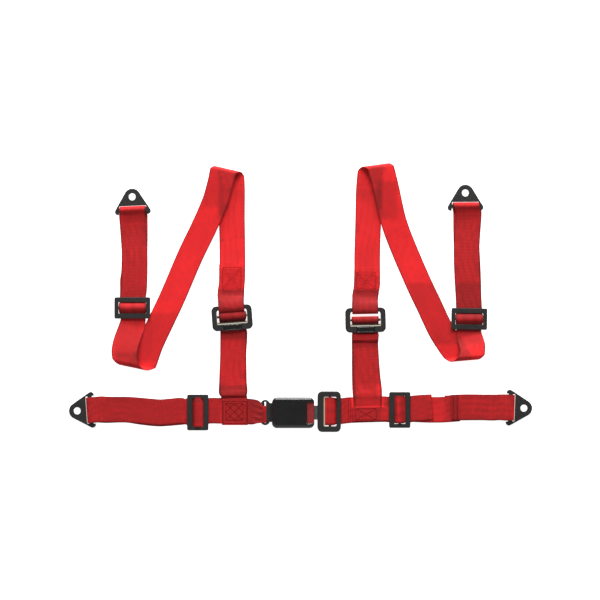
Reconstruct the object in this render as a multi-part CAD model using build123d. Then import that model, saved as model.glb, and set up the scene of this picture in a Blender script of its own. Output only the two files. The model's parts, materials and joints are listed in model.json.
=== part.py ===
from build123d import *
import math
import os

# Four-point racing harness laid out flat, seen from the wearer's front.
# Millimetres. +X runs along the lap belt to the tongue's side, +Y towards the shoulder anchors, +Z up.
# Places below are measured on the surface the harness lies on, from a point on the lap belt midway between
# the shoulder straps. The parts are written with their origin at the middle of the harness's footprint.
FOOTPRINT_MIDDLE = (1.045, 213.88)

# Webbing
WEB_WIDTH = 49.0
WEB_THICK = 1.4
DOUBLE_THICK = 2.9  # two layers lying on each other
LOOP_CLEARANCE = 0.12  # between a bar's corners and the webbing loop round it
GAP = 0.1  # small free space kept between neighbours

# Anchor plate, in its own frame: bolt hole at the origin, the strap leaves towards -Y
PLATE_THICK = 3.0
BOLT_HOLE_R = 6.75
APEX_R = 15.6
EAR_R = 6.0
EAR_X = 28.0
EAR_Y = -27.5
SLOT_LENGTH = 51.5
ANCHOR_SLOT_TOP = -17.0
ANCHOR_BAR_TOP = -22.0
ANCHOR_BAR_BOTTOM = -29.0
ANCHOR_PLACES = {  # hole centre x, y and the plate's turn in degrees
    "left_shoulder": (-318.3, 404.7, 2.5),
    "right_shoulder": (313.7, 412.1, 0.5),
    "left_lap": (-422.6, -1.3, 94.0),
    "right_lap": (424.7, 3.8, -92.0),
}

# Three-bar slide, in its own frame: bars run along X
SLIDE_WIDTH = 68.0
SLIDE_HEIGHT = 40.5
SLIDE_THICK = 2.5
SLIDE_END_BAR = 9.5
SLIDE_RAIL = 7.6
SLIDE_CENTRE_BAR = 4.0
SLIDE_Z = DOUBLE_THICK + 0.2
SLIDE_PLACES = {
    "left_rear": (-318.2, 194.0, 0.0),
    "right_rear": (321.2, 173.2, -1.0),
    "left_lap": (-194.0, -4.4, 90.0),
    "right_lap": (189.3, 0.4, 90.0),
}

# Tilt-lock adjuster, in its own frame: the shoulder strap arrives from +Y
LOCK_WIDTH = 76.8
LOCK_TOP = 23.2
LOCK_BOTTOM = -23.6
LOCK_CORNER_R = 9.0
LOCK_OPENING = 57.0
LOCK_TOP_BAR = 8.0
LOCK_OPEN_BOTTOM = -8.2  # the steel shows as a lip between here and the grip
GRIP_TOP = -11.8
GRIP_OVERHANG = 0.7
GRIP_WALL = 1.0
GRIP_LENGTH = 35.0
FIT = 0.02  # small free space between pieces that are fixed to each other
LOCK_PLACES = {"left": (-128.9, 175.6, 4.3), "right": (124.3, 171.2, 1.2)}
LOCK_BAR_R = 2.5
LOCK_BAR_LENGTH = 64.0
LOCK_BAR_TRAVEL = 1.5
TANG_WIDTH, TANG_THICK = 3.6, 1.4  # flat ends of an adjuster's lock bar
TANG_Z = -0.5  # middle of those ends, from the bar's axis
WRAP_INNER_R = 2.8
WRAP_CENTRE = {"left": 2.6, "right": 0.0}
WRAP_HALF = {"left": 8.0, "right": 6.7}
WRAP_OUTER_R = WRAP_INNER_R + WEB_THICK

# Buckle; y in these is measured from its centreline
BUCKLE_X0, BUCKLE_X1 = -53.0, 27.0
BUCKLE_Y = -4.4
BUCKLE_WIDTH = 57.8
BUCKLE_HEIGHT = 24.0
BUCKLE_CORNER_R = 9.0
BUCKLE_EDGE_R = 5.0
PARTING_Z = 11.0
WALL = 2.0
MOUTH_HALF = 15.5
NOTCH_X = 13.3  # the top cover ends here, and the button fills the rest
SCREW_SPOTS = [(x, s * 23.4) for x in (-43.0, 8.0) for s in (-1, 1)]
SCREW_R = 1.4
SCREW_TOP = 13.5
BOSS_R = 3.2
HEAD_R = 2.6
HEAD_HEIGHT = 1.6

# Steel frame inside the buckle
FRAME_Z = 4.0
FRAME_X0, FRAME_X1 = -59.0, 22.0
FRAME_HALF = 18.0
FLANGE_X0, FLANGE_X1 = -40.0, 12.0
FLANGE_THICK = 1.4
FLANGE_TOP = 16.0
REAR_BAR_X = -71.25
REAR_BAR_WIDTH = 7.5
REAR_CORNER_R = 9.0
REAR_CORNER_X, REAR_CORNER_Y = -66.0, 15.0
REAR_SLOT_WIDTH, REAR_SLOT_LENGTH = 2.9, 40.5
BUCKLE_WEB_WIDTH = 30.0
BUCKLE_WEB_Y = -7.4

# Latch, button, ejector and their springs
LATCH_PIN_X, LATCH_PIN_Z = -26.0, 13.25
LATCH_PIN_R = 1.5
LATCH_PIN_LENGTH = 37.5
LATCH_Z = 12.5
LATCH_THICK = 1.5
TOOTH_X0, TOOTH_X1 = 13.5, 16.0
TOOTH_BOTTOM = 8.6
LUG_X0, LUG_X1 = 5.0, 8.0
BUTTON_X0, BUTTON_X1 = 4.0, 26.5
BUTTON_BOTTOM, BUTTON_TOP = 11.2, 21.5
BUTTON_HALF = 19.5
RAMP_RISE = 3.1
EJECTOR_X0 = -7.0
BUTTON_SPRING_X, BUTTON_SPRING_Y, BUTTON_SPRING_Z = -14.1, 15.0, 18.6
EJECTOR_SPRING_X = -19.6
LATCH_SPRING_X = -8.0

# Tongue and its adjuster
TONGUE_Z = FRAME_Z + PLATE_THICK + 0.3
TONGUE_THICK = 2.5
TONGUE_HALF = 13.3
TONGUE_NOSE_X = 1.2
TONGUE_NECK_X = 40.0
WINDOW_X0, WINDOW_X1 = 4.0, 17.0
WINDOW_HALF = 9.0
ADJ_X0, ADJ_X1 = 33.0, 77.5
ADJ_Y = -2.6
ADJ_WIDTH = 77.0
ADJ_CORNER_R = 9.0
ADJ_MID_X = (ADJ_X0 + ADJ_X1) / 2
ADJ_OPEN_X0, ADJ_OPEN_X1 = 43.5, 69.5
ADJ_OPEN_WIDTH = 56.0
ADJ_STEEL_X0, ADJ_STEEL_X1 = 47.2, 71.0  # the steel shows as a lip between ADJ_OPEN_X0 and here
ADJ_COVER = 3.0  # moulding outside the steel
ADJ_STEEL_OPENING = 65.0  # long enough for the lock bar's ends
ADJ_WRAP_X = 56.8
ADJ_WRAP_Y = -1.9
ADJ_WRAP_HALF = 8.9
ADJ_Z = TONGUE_Z + TONGUE_THICK / 2
ADJ_HEIGHT = TONGUE_THICK + 4.0

UP = Vector(0, 0, 1)


def loop_radius(bar_width, bar_thick=PLATE_THICK):
    """Inner radius of a webbing loop that a bar of this section can turn in."""
    return math.hypot(bar_width, bar_thick) / 2 + LOOP_CLEARANCE


ANCHOR_LOOP_R = loop_radius(ANCHOR_BAR_TOP - ANCHOR_BAR_BOTTOM)
ANCHOR_BAR_Z = ANCHOR_LOOP_R + WEB_THICK + GAP
LOCK_LOOP_R = loop_radius(LOCK_TOP_BAR)
LOCK_BAR_Z = LOCK_LOOP_R + WEB_THICK + GAP
REAR_LOOP_R = loop_radius(REAR_BAR_WIDTH)
REAR_BAR_Z = FRAME_Z + PLATE_THICK / 2
LAYERS_Z = DOUBLE_THICK / 2 + 0.05  # middle of a doubled strap lying on the surface
ONE_LAYER_Z = WEB_THICK / 2 + 0.05


def place(spec):
    x, y, turn = spec
    return Location((x, y, 0), (0, 0, turn))


def at(where, x, y, z):
    """World point of a point given in a placed piece's own frame."""
    return (where * Location((x, y, z))).position


def side(where, x, y):
    """World direction of a direction given in a placed piece's own frame."""
    return at(where, x, y, 0) - at(where, 0, 0, 0)


def unit(v):
    return v * (1 / v.length)


def webbing(stations):
    """Closed solid of a run of webbing. A station is (centre, half-width vector, thickness)."""
    sections = []
    last = len(stations) - 1
    for i, (centre, across, thick) in enumerate(stations):
        arrive = unit(centre - stations[i - 1][0]) if i > 0 else None
        leave = unit(stations[i + 1][0] - centre) if i < last else None
        arrive = arrive or leave
        leave = leave or arrive
        normals = [unit(t.cross(across)) for t in (arrive, leave)]
        mean = normals[0] + normals[1]
        lift = mean * (thick / mean.length**2)  # keeps the thickness round a mitre
        corners = [
            centre - across - lift,
            centre + across - lift,
            centre + across + lift,
            centre - across + lift,
        ]
        sections.append(Face(Wire.make_polygon(corners, close=True)))
    return Solid.make_loft([s.outer_wire() for s in sections], ruled=True)


def bar_loop(where, y, z, inner_r, width=WEB_WIDTH):
    """Webbing tube round a bar that lies along the piece's own X."""
    tube = Cylinder(inner_r + WEB_THICK, width) - Cylinder(inner_r, width + 1)
    return where * Pos(0, y, z) * Rot(0, 90, 0) * tube


def slide_humps(where, offset=0.0):
    """Stations of a doubled strap woven over the middle bar of a slide, along the slide's -Y."""
    over = SLIDE_Z + SLIDE_THICK + GAP + DOUBLE_THICK / 2
    far, foot, crest = 20.0, 9.9, 2.6
    across = side(where, WEB_WIDTH / 2, 0)
    rise = [(far, LAYERS_Z), (foot, LAYERS_Z), (crest, over)]
    fall = [(-y, z) for y, z in reversed(rise)]
    return [(at(where, offset, y, z), across, DOUBLE_THICK) for y, z in rise + fall]


# ---------------------------------------------------------------- metal and moulded hardware


def anchor_plate():
    circles = Circle(APEX_R) + [Pos(s * EAR_X, EAR_Y) * Circle(EAR_R) for s in (-1, 1)]
    foot = EAR_Y - EAR_R
    recess_half = WEB_WIDTH / 2 + 2.2
    recess_depth = ANCHOR_BAR_BOTTOM - foot
    slot_middle = (ANCHOR_SLOT_TOP + ANCHOR_BAR_TOP) / 2
    sheet = make_hull(circles.edges())
    sheet -= Pos(0, foot) * RectangleRounded(2 * recess_half, 2 * recess_depth, 2.0)
    sheet -= Pos(0, slot_middle) * RectangleRounded(SLOT_LENGTH, ANCHOR_SLOT_TOP - ANCHOR_BAR_TOP, 1.8)
    sheet -= Circle(BOLT_HOLE_R)
    plate = extrude(sheet, PLATE_THICK / 2, both=True)
    faces = plate.faces().filter_by(Axis.Z)
    outer = [edge for face in faces for edge in face.outer_wire().edges()]
    rim = [e for e in outer if e.center().Y > ANCHOR_BAR_BOTTOM or abs(e.center().X) > recess_half]
    return Pos(0, 0, ANCHOR_BAR_Z) * chamfer(rim, 0.5)


def three_bar_slide():
    opening_half = SLIDE_HEIGHT / 2 - SLIDE_END_BAR
    gap = opening_half - SLIDE_CENTRE_BAR / 2
    middle = (opening_half + SLIDE_CENTRE_BAR / 2) / 2
    length = SLIDE_WIDTH - 2 * SLIDE_RAIL
    sheet = RectangleRounded(SLIDE_WIDTH, SLIDE_HEIGHT, 3.0)
    sheet -= [Pos(0, s * middle) * RectangleRounded(length, gap, 1.6) for s in (-1, 1)]
    plate = extrude(sheet, SLIDE_THICK)
    return Pos(0, 0, SLIDE_Z) * fillet(plate.edges().filter_by(Plane.XY), 0.6)


def lock_frame(name):
    height = LOCK_TOP - LOCK_BOTTOM
    middle = (LOCK_TOP + LOCK_BOTTOM) / 2
    open_top = LOCK_TOP - LOCK_TOP_BAR
    open_height = open_top - LOCK_OPEN_BOTTOM
    sheet = Pos(0, middle) * RectangleRounded(LOCK_WIDTH, height, LOCK_CORNER_R)
    sheet -= Pos(0, open_top - open_height / 2) * RectangleRounded(LOCK_OPENING, open_height, 3.5)
    plate = extrude(sheet, PLATE_THICK / 2, both=True)
    rim = plate.edges().filter_by(Plane.XY)
    outer = [e for e in rim if abs(e.center().X) > LOCK_WIDTH / 2 - 4 or e.center().Y < LOCK_BOTTOM + 1]
    plate = fillet(outer, 0.9)
    groove_width = TANG_WIDTH + LOCK_BAR_TRAVEL + 2 * GAP
    groove_top = TANG_Z + TANG_THICK / 2 + GAP
    groove_middle = (groove_top - PLATE_THICK) / 2
    groove = Box(LOCK_BAR_LENGTH + 4 * GAP, groove_width, groove_top + PLATE_THICK)
    plate -= Pos(0, WRAP_CENTRE[name] + LOCK_BAR_TRAVEL / 2, groove_middle) * groove
    return Pos(0, 0, LOCK_BAR_Z) * plate


def lock_grip():
    """Moulded sleeve round the middle of the adjuster's lower bar."""
    bottom = LOCK_BOTTOM - GRIP_OVERHANG
    thick = PLATE_THICK + 2 * GRIP_WALL
    sleeve = Pos(0, (GRIP_TOP + bottom) / 2) * Box(GRIP_LENGTH, GRIP_TOP - bottom, thick)
    sleeve = fillet(sleeve.edges(), 1.1)
    bar_height = LOCK_OPEN_BOTTOM - LOCK_BOTTOM + 2 * FIT
    bar = Box(2 * GRIP_LENGTH, bar_height, PLATE_THICK + 2 * FIT)
    bar_middle = (LOCK_OPEN_BOTTOM + LOCK_BOTTOM) / 2
    return Pos(0, 0, LOCK_BAR_Z) * (sleeve - Pos(0, bar_middle) * bar)


def knurled_bar(length, radius=LOCK_BAR_R, flats=14):
    """Bar along X, grooved along its length where the webbing grips it."""
    bar = Cylinder(radius, length)
    groove = Box(0.5, 0.5, WEB_WIDTH)
    for i in range(flats):
        angle = 360 * i / flats
        bar -= Rot(0, 0, angle) * Pos(radius, 0, 0) * Rot(0, 0, 45) * groove
    return Rot(0, 90, 0) * bar


def adjuster_bar():
    """Lock bar of an adjuster: knurled between the rails, with flat ends that ride in grooves under them."""
    tang = Pos(0, 0, TANG_Z) * Box(LOCK_BAR_LENGTH, TANG_WIDTH, TANG_THICK)
    return knurled_bar(LOCK_OPENING - 1.0) + tang


def wrap_ring(half):
    """Flattened turn of webbing round a lock bar, in the plane of its long axis X."""
    inner_half = half - WEB_THICK
    return SlotOverall(2 * half, 2 * WRAP_OUTER_R) - SlotOverall(2 * inner_half, 2 * WRAP_INNER_R)


def lock_wrap(name):
    """The turn of the chest webbing round the lock bar, and the two layers that leave under the grip."""
    half, middle = WRAP_HALF[name], WRAP_CENTRE[name]
    ring = Rot(0, 90, 0) * extrude(Rot(0, 0, 90) * wrap_ring(half), WEB_WIDTH / 2, both=True)
    across = Vector(WEB_WIDTH / 2, 0, 0)
    floor = LOCK_BAR_Z - WRAP_INNER_R - DOUBLE_THICK / 2
    route = [
        (middle - 1, floor),
        (middle - half + 1, floor),
        (-15.0, LAYERS_Z),
        (LOCK_BOTTOM - 2.2, LAYERS_Z),
    ]
    tails = webbing([(Vector(0, y, z), across, DOUBLE_THICK) for y, z in route])
    return Pos(0, middle, LOCK_BAR_Z) * ring + tails


# ---------------------------------------------------------------- buckle


def rounded_case(grow, z0, z1, corner, edge):
    """Rounded block of the buckle's plan, grown by grow, from z0 to z1."""
    length = BUCKLE_X1 - BUCKLE_X0 + 2 * grow
    case = extrude(RectangleRounded(length, BUCKLE_WIDTH + 2 * grow, corner), z1 - z0)
    case = fillet(case.edges().group_by(Axis.Z)[-1], edge)
    case = fillet(case.edges().group_by(Axis.Z)[0], edge * 0.6)
    return Pos((BUCKLE_X0 + BUCKLE_X1) / 2, BUCKLE_Y, z0) * case


def block(x0, x1, y0, y1, z0, z1):
    """Box between two corners, with y measured from the buckle's centreline."""
    y0, y1 = sorted((y0, y1))
    centre = ((x0 + x1) / 2, BUCKLE_Y + (y0 + y1) / 2, (z0 + z1) / 2)
    return Pos(*centre) * Box(x1 - x0, y1 - y0, z1 - z0)


def case_shell():
    """Both covers in one, hollow, with the screw bosses."""
    shell = rounded_case(0, 0, BUCKLE_HEIGHT, BUCKLE_CORNER_R, BUCKLE_EDGE_R)
    inner_edge = BUCKLE_EDGE_R - WALL
    shell -= rounded_case(-WALL, WALL, BUCKLE_HEIGHT - WALL, BUCKLE_CORNER_R - WALL, inner_edge)
    for x, y in SCREW_SPOTS:
        shell += Pos(x, BUCKLE_Y + y, BUCKLE_HEIGHT / 2) * Cylinder(BOSS_R, BUCKLE_HEIGHT - WALL)
    return shell


def rear_opening(z0, z1):
    """Where the frame leaves the covers towards the lap belt."""
    half = FRAME_HALF + 0.3
    return block(BUCKLE_X0 - 1, BUCKLE_X0 + 5, -half, half, z0, z1)


def buckle_bottom_cover():
    cover = case_shell() & Pos(0, 0, PARTING_Z / 2) * Box(300, 300, PARTING_Z)
    cover -= rear_opening(FRAME_Z - 0.2, PARTING_Z + 1)
    cover -= block(BUCKLE_X1 - 12, BUCKLE_X1 + 1, -MOUTH_HALF, MOUTH_HALF, TONGUE_Z - 0.6, PARTING_Z + 1)
    for x in (-40.0, -10.0, 12.0):
        cover += block(x, x + 2, -16, 16, WALL - 0.5, FRAME_Z - FIT)
    for x, y in SCREW_SPOTS:
        cover -= Pos(x, BUCKLE_Y + y, PARTING_Z / 2) * Cylinder(SCREW_R + GAP, PARTING_Z + 1)
        cover -= Pos(x, BUCKLE_Y + y, HEAD_HEIGHT / 2) * Cylinder(HEAD_R + GAP, HEAD_HEIGHT + GAP)
    return cover


def buckle_top_cover():
    cover = case_shell() & Pos(0, 0, PARTING_Z + GAP + 10) * Box(300, 300, 20)
    cover -= block(NOTCH_X, BUCKLE_X1 + 1, -20, 20, PARTING_Z - 1, BUCKLE_HEIGHT + 1)
    cover -= rear_opening(PARTING_Z - 1, PARTING_Z + 2)
    stop_x1 = BUTTON_SPRING_X - GAP
    for s in (-1, 1):
        stop_y = s * BUTTON_SPRING_Y
        cover += block(stop_x1 - 1.8, stop_x1, stop_y - 3, stop_y + 3, 16.4, BUCKLE_HEIGHT - WALL + 0.5)
    for x, y in SCREW_SPOTS:
        hole_depth = SCREW_TOP + 0.5 - PARTING_Z
        cover -= Pos(x, BUCKLE_Y + y, PARTING_Z + hole_depth / 2) * Cylinder(SCREW_R + FIT, hole_depth + 0.2)
    return cover


def cover_screws():
    """Four screws, heads down in the bottom cover, with cross-recessed heads."""
    screws = []
    for x, y in SCREW_SPOTS:
        head = Pos(0, 0, HEAD_HEIGHT / 2 + 0.1) * Cylinder(HEAD_R, HEAD_HEIGHT - 0.2)
        shank = Pos(0, 0, (SCREW_TOP + 1) / 2) * Cylinder(SCREW_R, SCREW_TOP - 1)
        drive = Pos(0, 0, 0.3) * (Box(3.2, 0.7, 1.2) + Box(0.7, 3.2, 1.2))
        screws.append(Pos(x, BUCKLE_Y + y, 0) * (head + shank - drive))
    return Compound(children=[s.solid() for s in screws])


def buckle_frame():
    """Steel channel under the tongue with two flanges, and the slotted rear plate outside the covers."""
    corners = [Pos(REAR_CORNER_X, BUCKLE_Y + s * REAR_CORNER_Y) * Circle(REAR_CORNER_R) for s in (-1, 1)]
    sheet = make_hull((corners[0] + corners[1]).edges())
    sheet += Pos((FRAME_X0 + FRAME_X1) / 2, BUCKLE_Y) * Rectangle(FRAME_X1 - FRAME_X0, 2 * FRAME_HALF)
    slot_x = REAR_BAR_X + (REAR_BAR_WIDTH + REAR_SLOT_WIDTH) / 2
    sheet -= Pos(slot_x, BUCKLE_Y) * RectangleRounded(REAR_SLOT_WIDTH, REAR_SLOT_LENGTH, 1.0)
    frame = Pos(0, 0, FRAME_Z) * extrude(sheet, PLATE_THICK)
    for s in (-1, 1):
        inner = s * (FRAME_HALF - FLANGE_THICK)
        frame += block(FLANGE_X0, FLANGE_X1, inner, s * FRAME_HALF, FRAME_Z, FLANGE_TOP)
    frame += block(EJECTOR_SPRING_X - 1.6, EJECTOR_SPRING_X - GAP, -6, 6, FRAME_Z, 12.1)
    return frame - pin_cylinder(LATCH_PIN_R + 0.05, 50)


def pin_cylinder(radius, length):
    """Cylinder on the latch pin's axis."""
    return Pos(LATCH_PIN_X, BUCKLE_Y, LATCH_PIN_Z) * Rot(90, 0, 0) * Cylinder(radius, length)


def latch_plate():
    """Sprung lever on the pin, with a tooth for the tongue's window and lugs that ride on the button's ramps."""
    top = LATCH_Z + LATCH_THICK
    plate = block(LATCH_PIN_X, TOOTH_X1, -9, 9, LATCH_Z, top)
    plate += block(TOOTH_X0, TOOTH_X1, -8, 8, TOOTH_BOTTOM, LATCH_Z)
    plate += block(LUG_X0, LUG_X1, -13, 13, LATCH_Z, top)
    plate += pin_cylinder(2 * LATCH_PIN_R, 18)
    return plate - pin_cylinder(LATCH_PIN_R + 0.06, 60)


def button_ramp(s):
    """Wedge on one side (s 1 or -1) of the button that lifts the latch's lug."""
    low = LATCH_Z - 0.4
    profile = Polyline(
        (LUG_X1, BUTTON_BOTTOM),
        (LUG_X1, low),
        (LUG_X1 + 5, low + RAMP_RISE),
        (LUG_X1 + 11, low + RAMP_RISE),
        (LUG_X1 + 11, BUTTON_BOTTOM),
        close=True,
    )
    y0, y1 = sorted((s * 9.8, s * 13.7))
    return extrude(Plane.XZ.offset(-(BUCKLE_Y + y1)) * make_face(profile), y1 - y0)


def release_button():
    button = block(BUTTON_X0, BUTTON_X1, -BUTTON_HALF, BUTTON_HALF, BUTTON_TOP - 2, BUTTON_TOP)
    button += block(BUTTON_X1 - 3.5, BUTTON_X1, -BUTTON_HALF, BUTTON_HALF, BUTTON_BOTTOM + 0.4, BUTTON_TOP)
    front = button.faces().sort_by(Axis.X)[-1]
    raised = [edge for edge in front.edges() if edge.center().Z > BUTTON_BOTTOM + 1]
    button = fillet(raised, 1.0)
    for s in (-1, 1):
        button += block(BUTTON_X0, BUTTON_X1 - 3, s * 13.5, s * 16.2, BUTTON_BOTTOM, BUTTON_TOP - 1.5)
        button += button_ramp(s)
    return button


def ejector():
    slider = block(EJECTOR_X0, TONGUE_NOSE_X - 0.2, -10, 10, TONGUE_Z, PARTING_Z)
    return fillet(slider.edges().filter_by(Axis.Z), 1.0)


def coil(length, mean_r, wire_r, turns):
    """Coil spring along Z from its own origin, with its ends lying within the stated length."""
    run = length - 2 * wire_r
    path = Pos(0, 0, wire_r) * Helix(run / turns, run, mean_r)
    start = Plane(origin=path @ 0, z_dir=path % 0)
    return sweep(start * Circle(wire_r), path=path)


def latch_spring():
    bottom = LATCH_Z + LATCH_THICK + GAP
    top = BUCKLE_HEIGHT - WALL - GAP
    return Pos(LATCH_SPRING_X, BUCKLE_Y, bottom) * coil(top - bottom, 2.4, 0.35, 5)


def button_springs():
    length = BUTTON_X0 - BUTTON_SPRING_X - GAP
    springs = []
    for s in (-1, 1):
        start = Pos(BUTTON_SPRING_X, BUCKLE_Y + s * BUTTON_SPRING_Y, BUTTON_SPRING_Z)
        springs.append(start * Rot(0, 90, 0) * coil(length, 1.7, 0.3, 8))
    return Compound(children=[spring.solid() for spring in springs])


def ejector_spring():
    length = EJECTOR_X0 - EJECTOR_SPRING_X - GAP
    return Pos(EJECTOR_SPRING_X, BUCKLE_Y, 9.9) * Rot(0, 90, 0) * coil(length, 1.8, 0.35, 6)


def adjuster_steel(grow):
    """Plan of the tongue's steel frame inside its moulding, grown a little for the moulding's fit."""
    length = ADJ_X1 - ADJ_X0 - 2 * ADJ_COVER + 2 * grow
    width = ADJ_WIDTH - 2 * ADJ_COVER + 2 * grow
    opening = ADJ_STEEL_X1 - ADJ_STEEL_X0 - 2 * grow
    opening_width = ADJ_STEEL_OPENING - 2 * grow
    opening_x = (ADJ_STEEL_X0 + ADJ_STEEL_X1) / 2
    ring = Pos(ADJ_MID_X, ADJ_Y) * RectangleRounded(length, width, 7.0)
    return ring - Pos(opening_x, ADJ_Y) * RectangleRounded(opening, opening_width, 3.0)


def neck(x0, grow):
    half = TONGUE_HALF + grow
    return Pos((x0 + TONGUE_NECK_X) / 2, BUCKLE_Y) * Rectangle(TONGUE_NECK_X - x0, 2 * half)


def tongue_plate():
    """Steel blade with a window for the latch tooth, widening to the frame that carries the lap webbing."""
    blade = neck(TONGUE_NOSE_X, 0)
    blade = fillet([v for v in blade.vertices() if v.X < TONGUE_NOSE_X + 1], 4.0)
    window = RectangleRounded(WINDOW_X1 - WINDOW_X0, 2 * WINDOW_HALF, 1.0)
    blade -= Pos((WINDOW_X0 + WINDOW_X1) / 2, BUCKLE_Y) * window
    return Pos(0, 0, TONGUE_Z) * extrude(blade + adjuster_steel(0), TONGUE_THICK)


def tongue_grip():
    """Moulding over the steel frame of the tongue, with pockets that carry the lock bar's ends."""
    outline = Pos(ADJ_MID_X, ADJ_Y) * RectangleRounded(ADJ_X1 - ADJ_X0, ADJ_WIDTH, ADJ_CORNER_R)
    body = extrude(outline, ADJ_HEIGHT / 2, both=True)
    body = fillet(body.edges().filter_by(Plane.XY), 1.6)
    opening = RectangleRounded(ADJ_OPEN_X1 - ADJ_OPEN_X0, ADJ_OPEN_WIDTH, 3.0)
    body -= Pos((ADJ_OPEN_X0 + ADJ_OPEN_X1) / 2, ADJ_Y) * extrude(opening, ADJ_HEIGHT, both=True)
    pocket_height = 2 * (LOCK_BAR_R + GAP)
    pocket = Box(pocket_height + LOCK_BAR_TRAVEL, LOCK_BAR_LENGTH + 4 * GAP, pocket_height)
    body -= Pos(ADJ_WRAP_X + LOCK_BAR_TRAVEL / 2, ADJ_Y) * pocket
    steel = extrude(adjuster_steel(FIT) + neck(ADJ_X0 - 1, FIT), TONGUE_THICK / 2 + FIT, both=True)
    return Pos(0, 0, ADJ_Z) * (body - steel)


# ---------------------------------------------------------------- webbing


def flat(points, thick=WEB_THICK, flip=1):
    """Stations of webbing lying face up (flip 1) or turned over (flip -1) through points (x, y, z)."""
    centres = [Vector(*p) for p in points]
    stations = []
    for i, centre in enumerate(centres):
        before = centres[max(i - 1, 0)]
        after = centres[min(i + 1, len(centres) - 1)]
        travel = after - before
        across = unit(Vector(-travel.Y, travel.X, 0)) * (WEB_WIDTH / 2 * flip)
        stations.append((centre, across, thick))
    return stations


def roll_down(middle, line_angle, shift, radius, bulge_side):
    """Stations of webbing rolled over a fold line, from the upper layer to the one on the surface.

    middle is the fold's centre in plan and line_angle the fold line's direction. The webbing moves by
    shift along that line while it rolls, and bulges out by radius to the side bulge_side (1 or -1) of it.
    """
    steps = 10
    line = Vector(1, 0, 0).rotate(Axis.Z, line_angle)
    out = line.rotate(Axis.Z, 90) * bulge_side
    across = line * (WEB_WIDTH / 2 * 1.04)
    stations = []
    for i in range(steps + 1):
        angle = math.pi * i / steps
        along = line * (shift * (i / steps - 0.5))
        height = ONE_LAYER_Z + radius * (1 + math.cos(angle))
        centre = Vector(*middle, 0) + along + out * (radius * math.sin(angle)) + UP * height
        stations.append((centre, across, WEB_THICK))
    return stations


def anchor_start(name, flip=1):
    """First stations of a doubled strap leaving an anchor plate's loop."""
    where = place(ANCHOR_PLACES[name])
    bar_y = (ANCHOR_BAR_TOP + ANCHOR_BAR_BOTTOM) / 2
    edge = bar_y - ANCHOR_LOOP_R - WEB_THICK / 2
    across = side(where, WEB_WIDTH / 2, 0) * flip
    route = [(edge, ANCHOR_BAR_Z), (edge - 5, ANCHOR_BAR_Z - 0.6), (edge - 22, LAYERS_Z)]
    return [(at(where, 0, y, z), across, DOUBLE_THICK) for y, z in route]


def anchor_loop(name):
    bar_y = (ANCHOR_BAR_TOP + ANCHOR_BAR_BOTTOM) / 2
    return bar_loop(place(ANCHOR_PLACES[name]), bar_y, ANCHOR_BAR_Z, ANCHOR_LOOP_R)


def lock_loop_end(name):
    """Last stations of the doubled shoulder strap arriving at the adjuster's top bar."""
    where = place(LOCK_PLACES[name])
    bar_y = LOCK_TOP - LOCK_TOP_BAR / 2
    edge = bar_y + LOCK_LOOP_R + WEB_THICK / 2
    across = side(where, WEB_WIDTH / 2, 0)
    route = [(edge + 28, LAYERS_Z), (edge + 5, LOCK_BAR_Z - 0.6), (edge, LOCK_BAR_Z)]
    return [(at(where, 0, y, z), across, DOUBLE_THICK) for y, z in route]


SHOULDER_ROUTES = {
    "left": {
        "rear": [(-315.0, 332.0), (-314.6, 262.0)],
        "after_slide": [(-319.5, 160.0, 1.6), (-327.6, 138.7, 7.0), (-331.5, 117.8, 12.6)],
        "bottom_fold": {"middle": (-313.7, 92.7), "line_angle": -14.0, "shift": 32.0, "radius": 8.0},
        "diagonal": [
            (-284.1, 124.3, 0.75),
            (-244.8, 209.0, 0.75),
            (-207.1, 296.4, 1.0),
            (-181.6, 349.6, 4.5),
            (-160.6, 397.1, 8.0),
            (-150.1, 433.2, 11.5),
        ],
        "top_fold": {"middle": (-137.7, 451.3), "line_angle": -12.9, "shift": 15.6, "radius": 6.0},
        "drop": [(-128.9, 420.0), (-128.8, 300.0)],
        "doubled": [(-128.8, 274.0), (-128.8, 242.0)],
    },
    "right": {
        "rear": [(316.7, 307.8), (319.4, 247.0)],
        "after_slide": [(321.0, 140.0, 2.2), (325.5, 129.0, 6.5), (327.6, 118.0, 12.0)],
        "bottom_fold": {"middle": (312.6, 103.4), "line_angle": 4.9, "shift": -25.8, "radius": 8.0},
        "diagonal": [
            (285.4, 124.3, 0.75),
            (267.3, 152.0, 0.75),
            (242.6, 204.0, 0.75),
            (221.9, 248.1, 0.75),
            (196.1, 307.8, 1.2),
            (178.2, 358.0, 4.5),
            (163.8, 419.9, 9.5),
        ],
        "top_fold": {"middle": (143.9, 458.8), "line_angle": 7.7, "shift": -18.4, "radius": 6.0},
        "drop": [(130.7, 414.0), (127.6, 300.0)],
        "doubled": [(126.4, 270.0), (125.4, 238.0)],
    },
}


def shoulder_strap(name):
    """Webbing from the anchor plate through the slide, over both folds, to the adjuster's top bar."""
    route = SHOULDER_ROUTES[name]
    stations = anchor_start(name + "_shoulder")
    stations += flat([(x, y, LAYERS_Z) for x, y in route["rear"]], thick=DOUBLE_THICK)
    stations += slide_humps(place(SLIDE_PLACES[name + "_rear"]))
    stations += flat(route["after_slide"])
    stations += roll_down(bulge_side=-1, **route["bottom_fold"])
    stations += flat(route["diagonal"], flip=-1)
    stations += roll_down(bulge_side=1, **route["top_fold"])
    stations += flat([(x, y, ONE_LAYER_Z) for x, y in route["drop"]])
    stations += flat([(x, y, LAYERS_Z) for x, y in route["doubled"]], thick=DOUBLE_THICK)
    stations += lock_loop_end(name)
    lock_bar_y = LOCK_TOP - LOCK_TOP_BAR / 2
    lock_loop = bar_loop(place(LOCK_PLACES[name]), lock_bar_y, LOCK_BAR_Z, LOCK_LOOP_R)
    return webbing(stations) + anchor_loop(name + "_shoulder") + lock_loop


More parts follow.
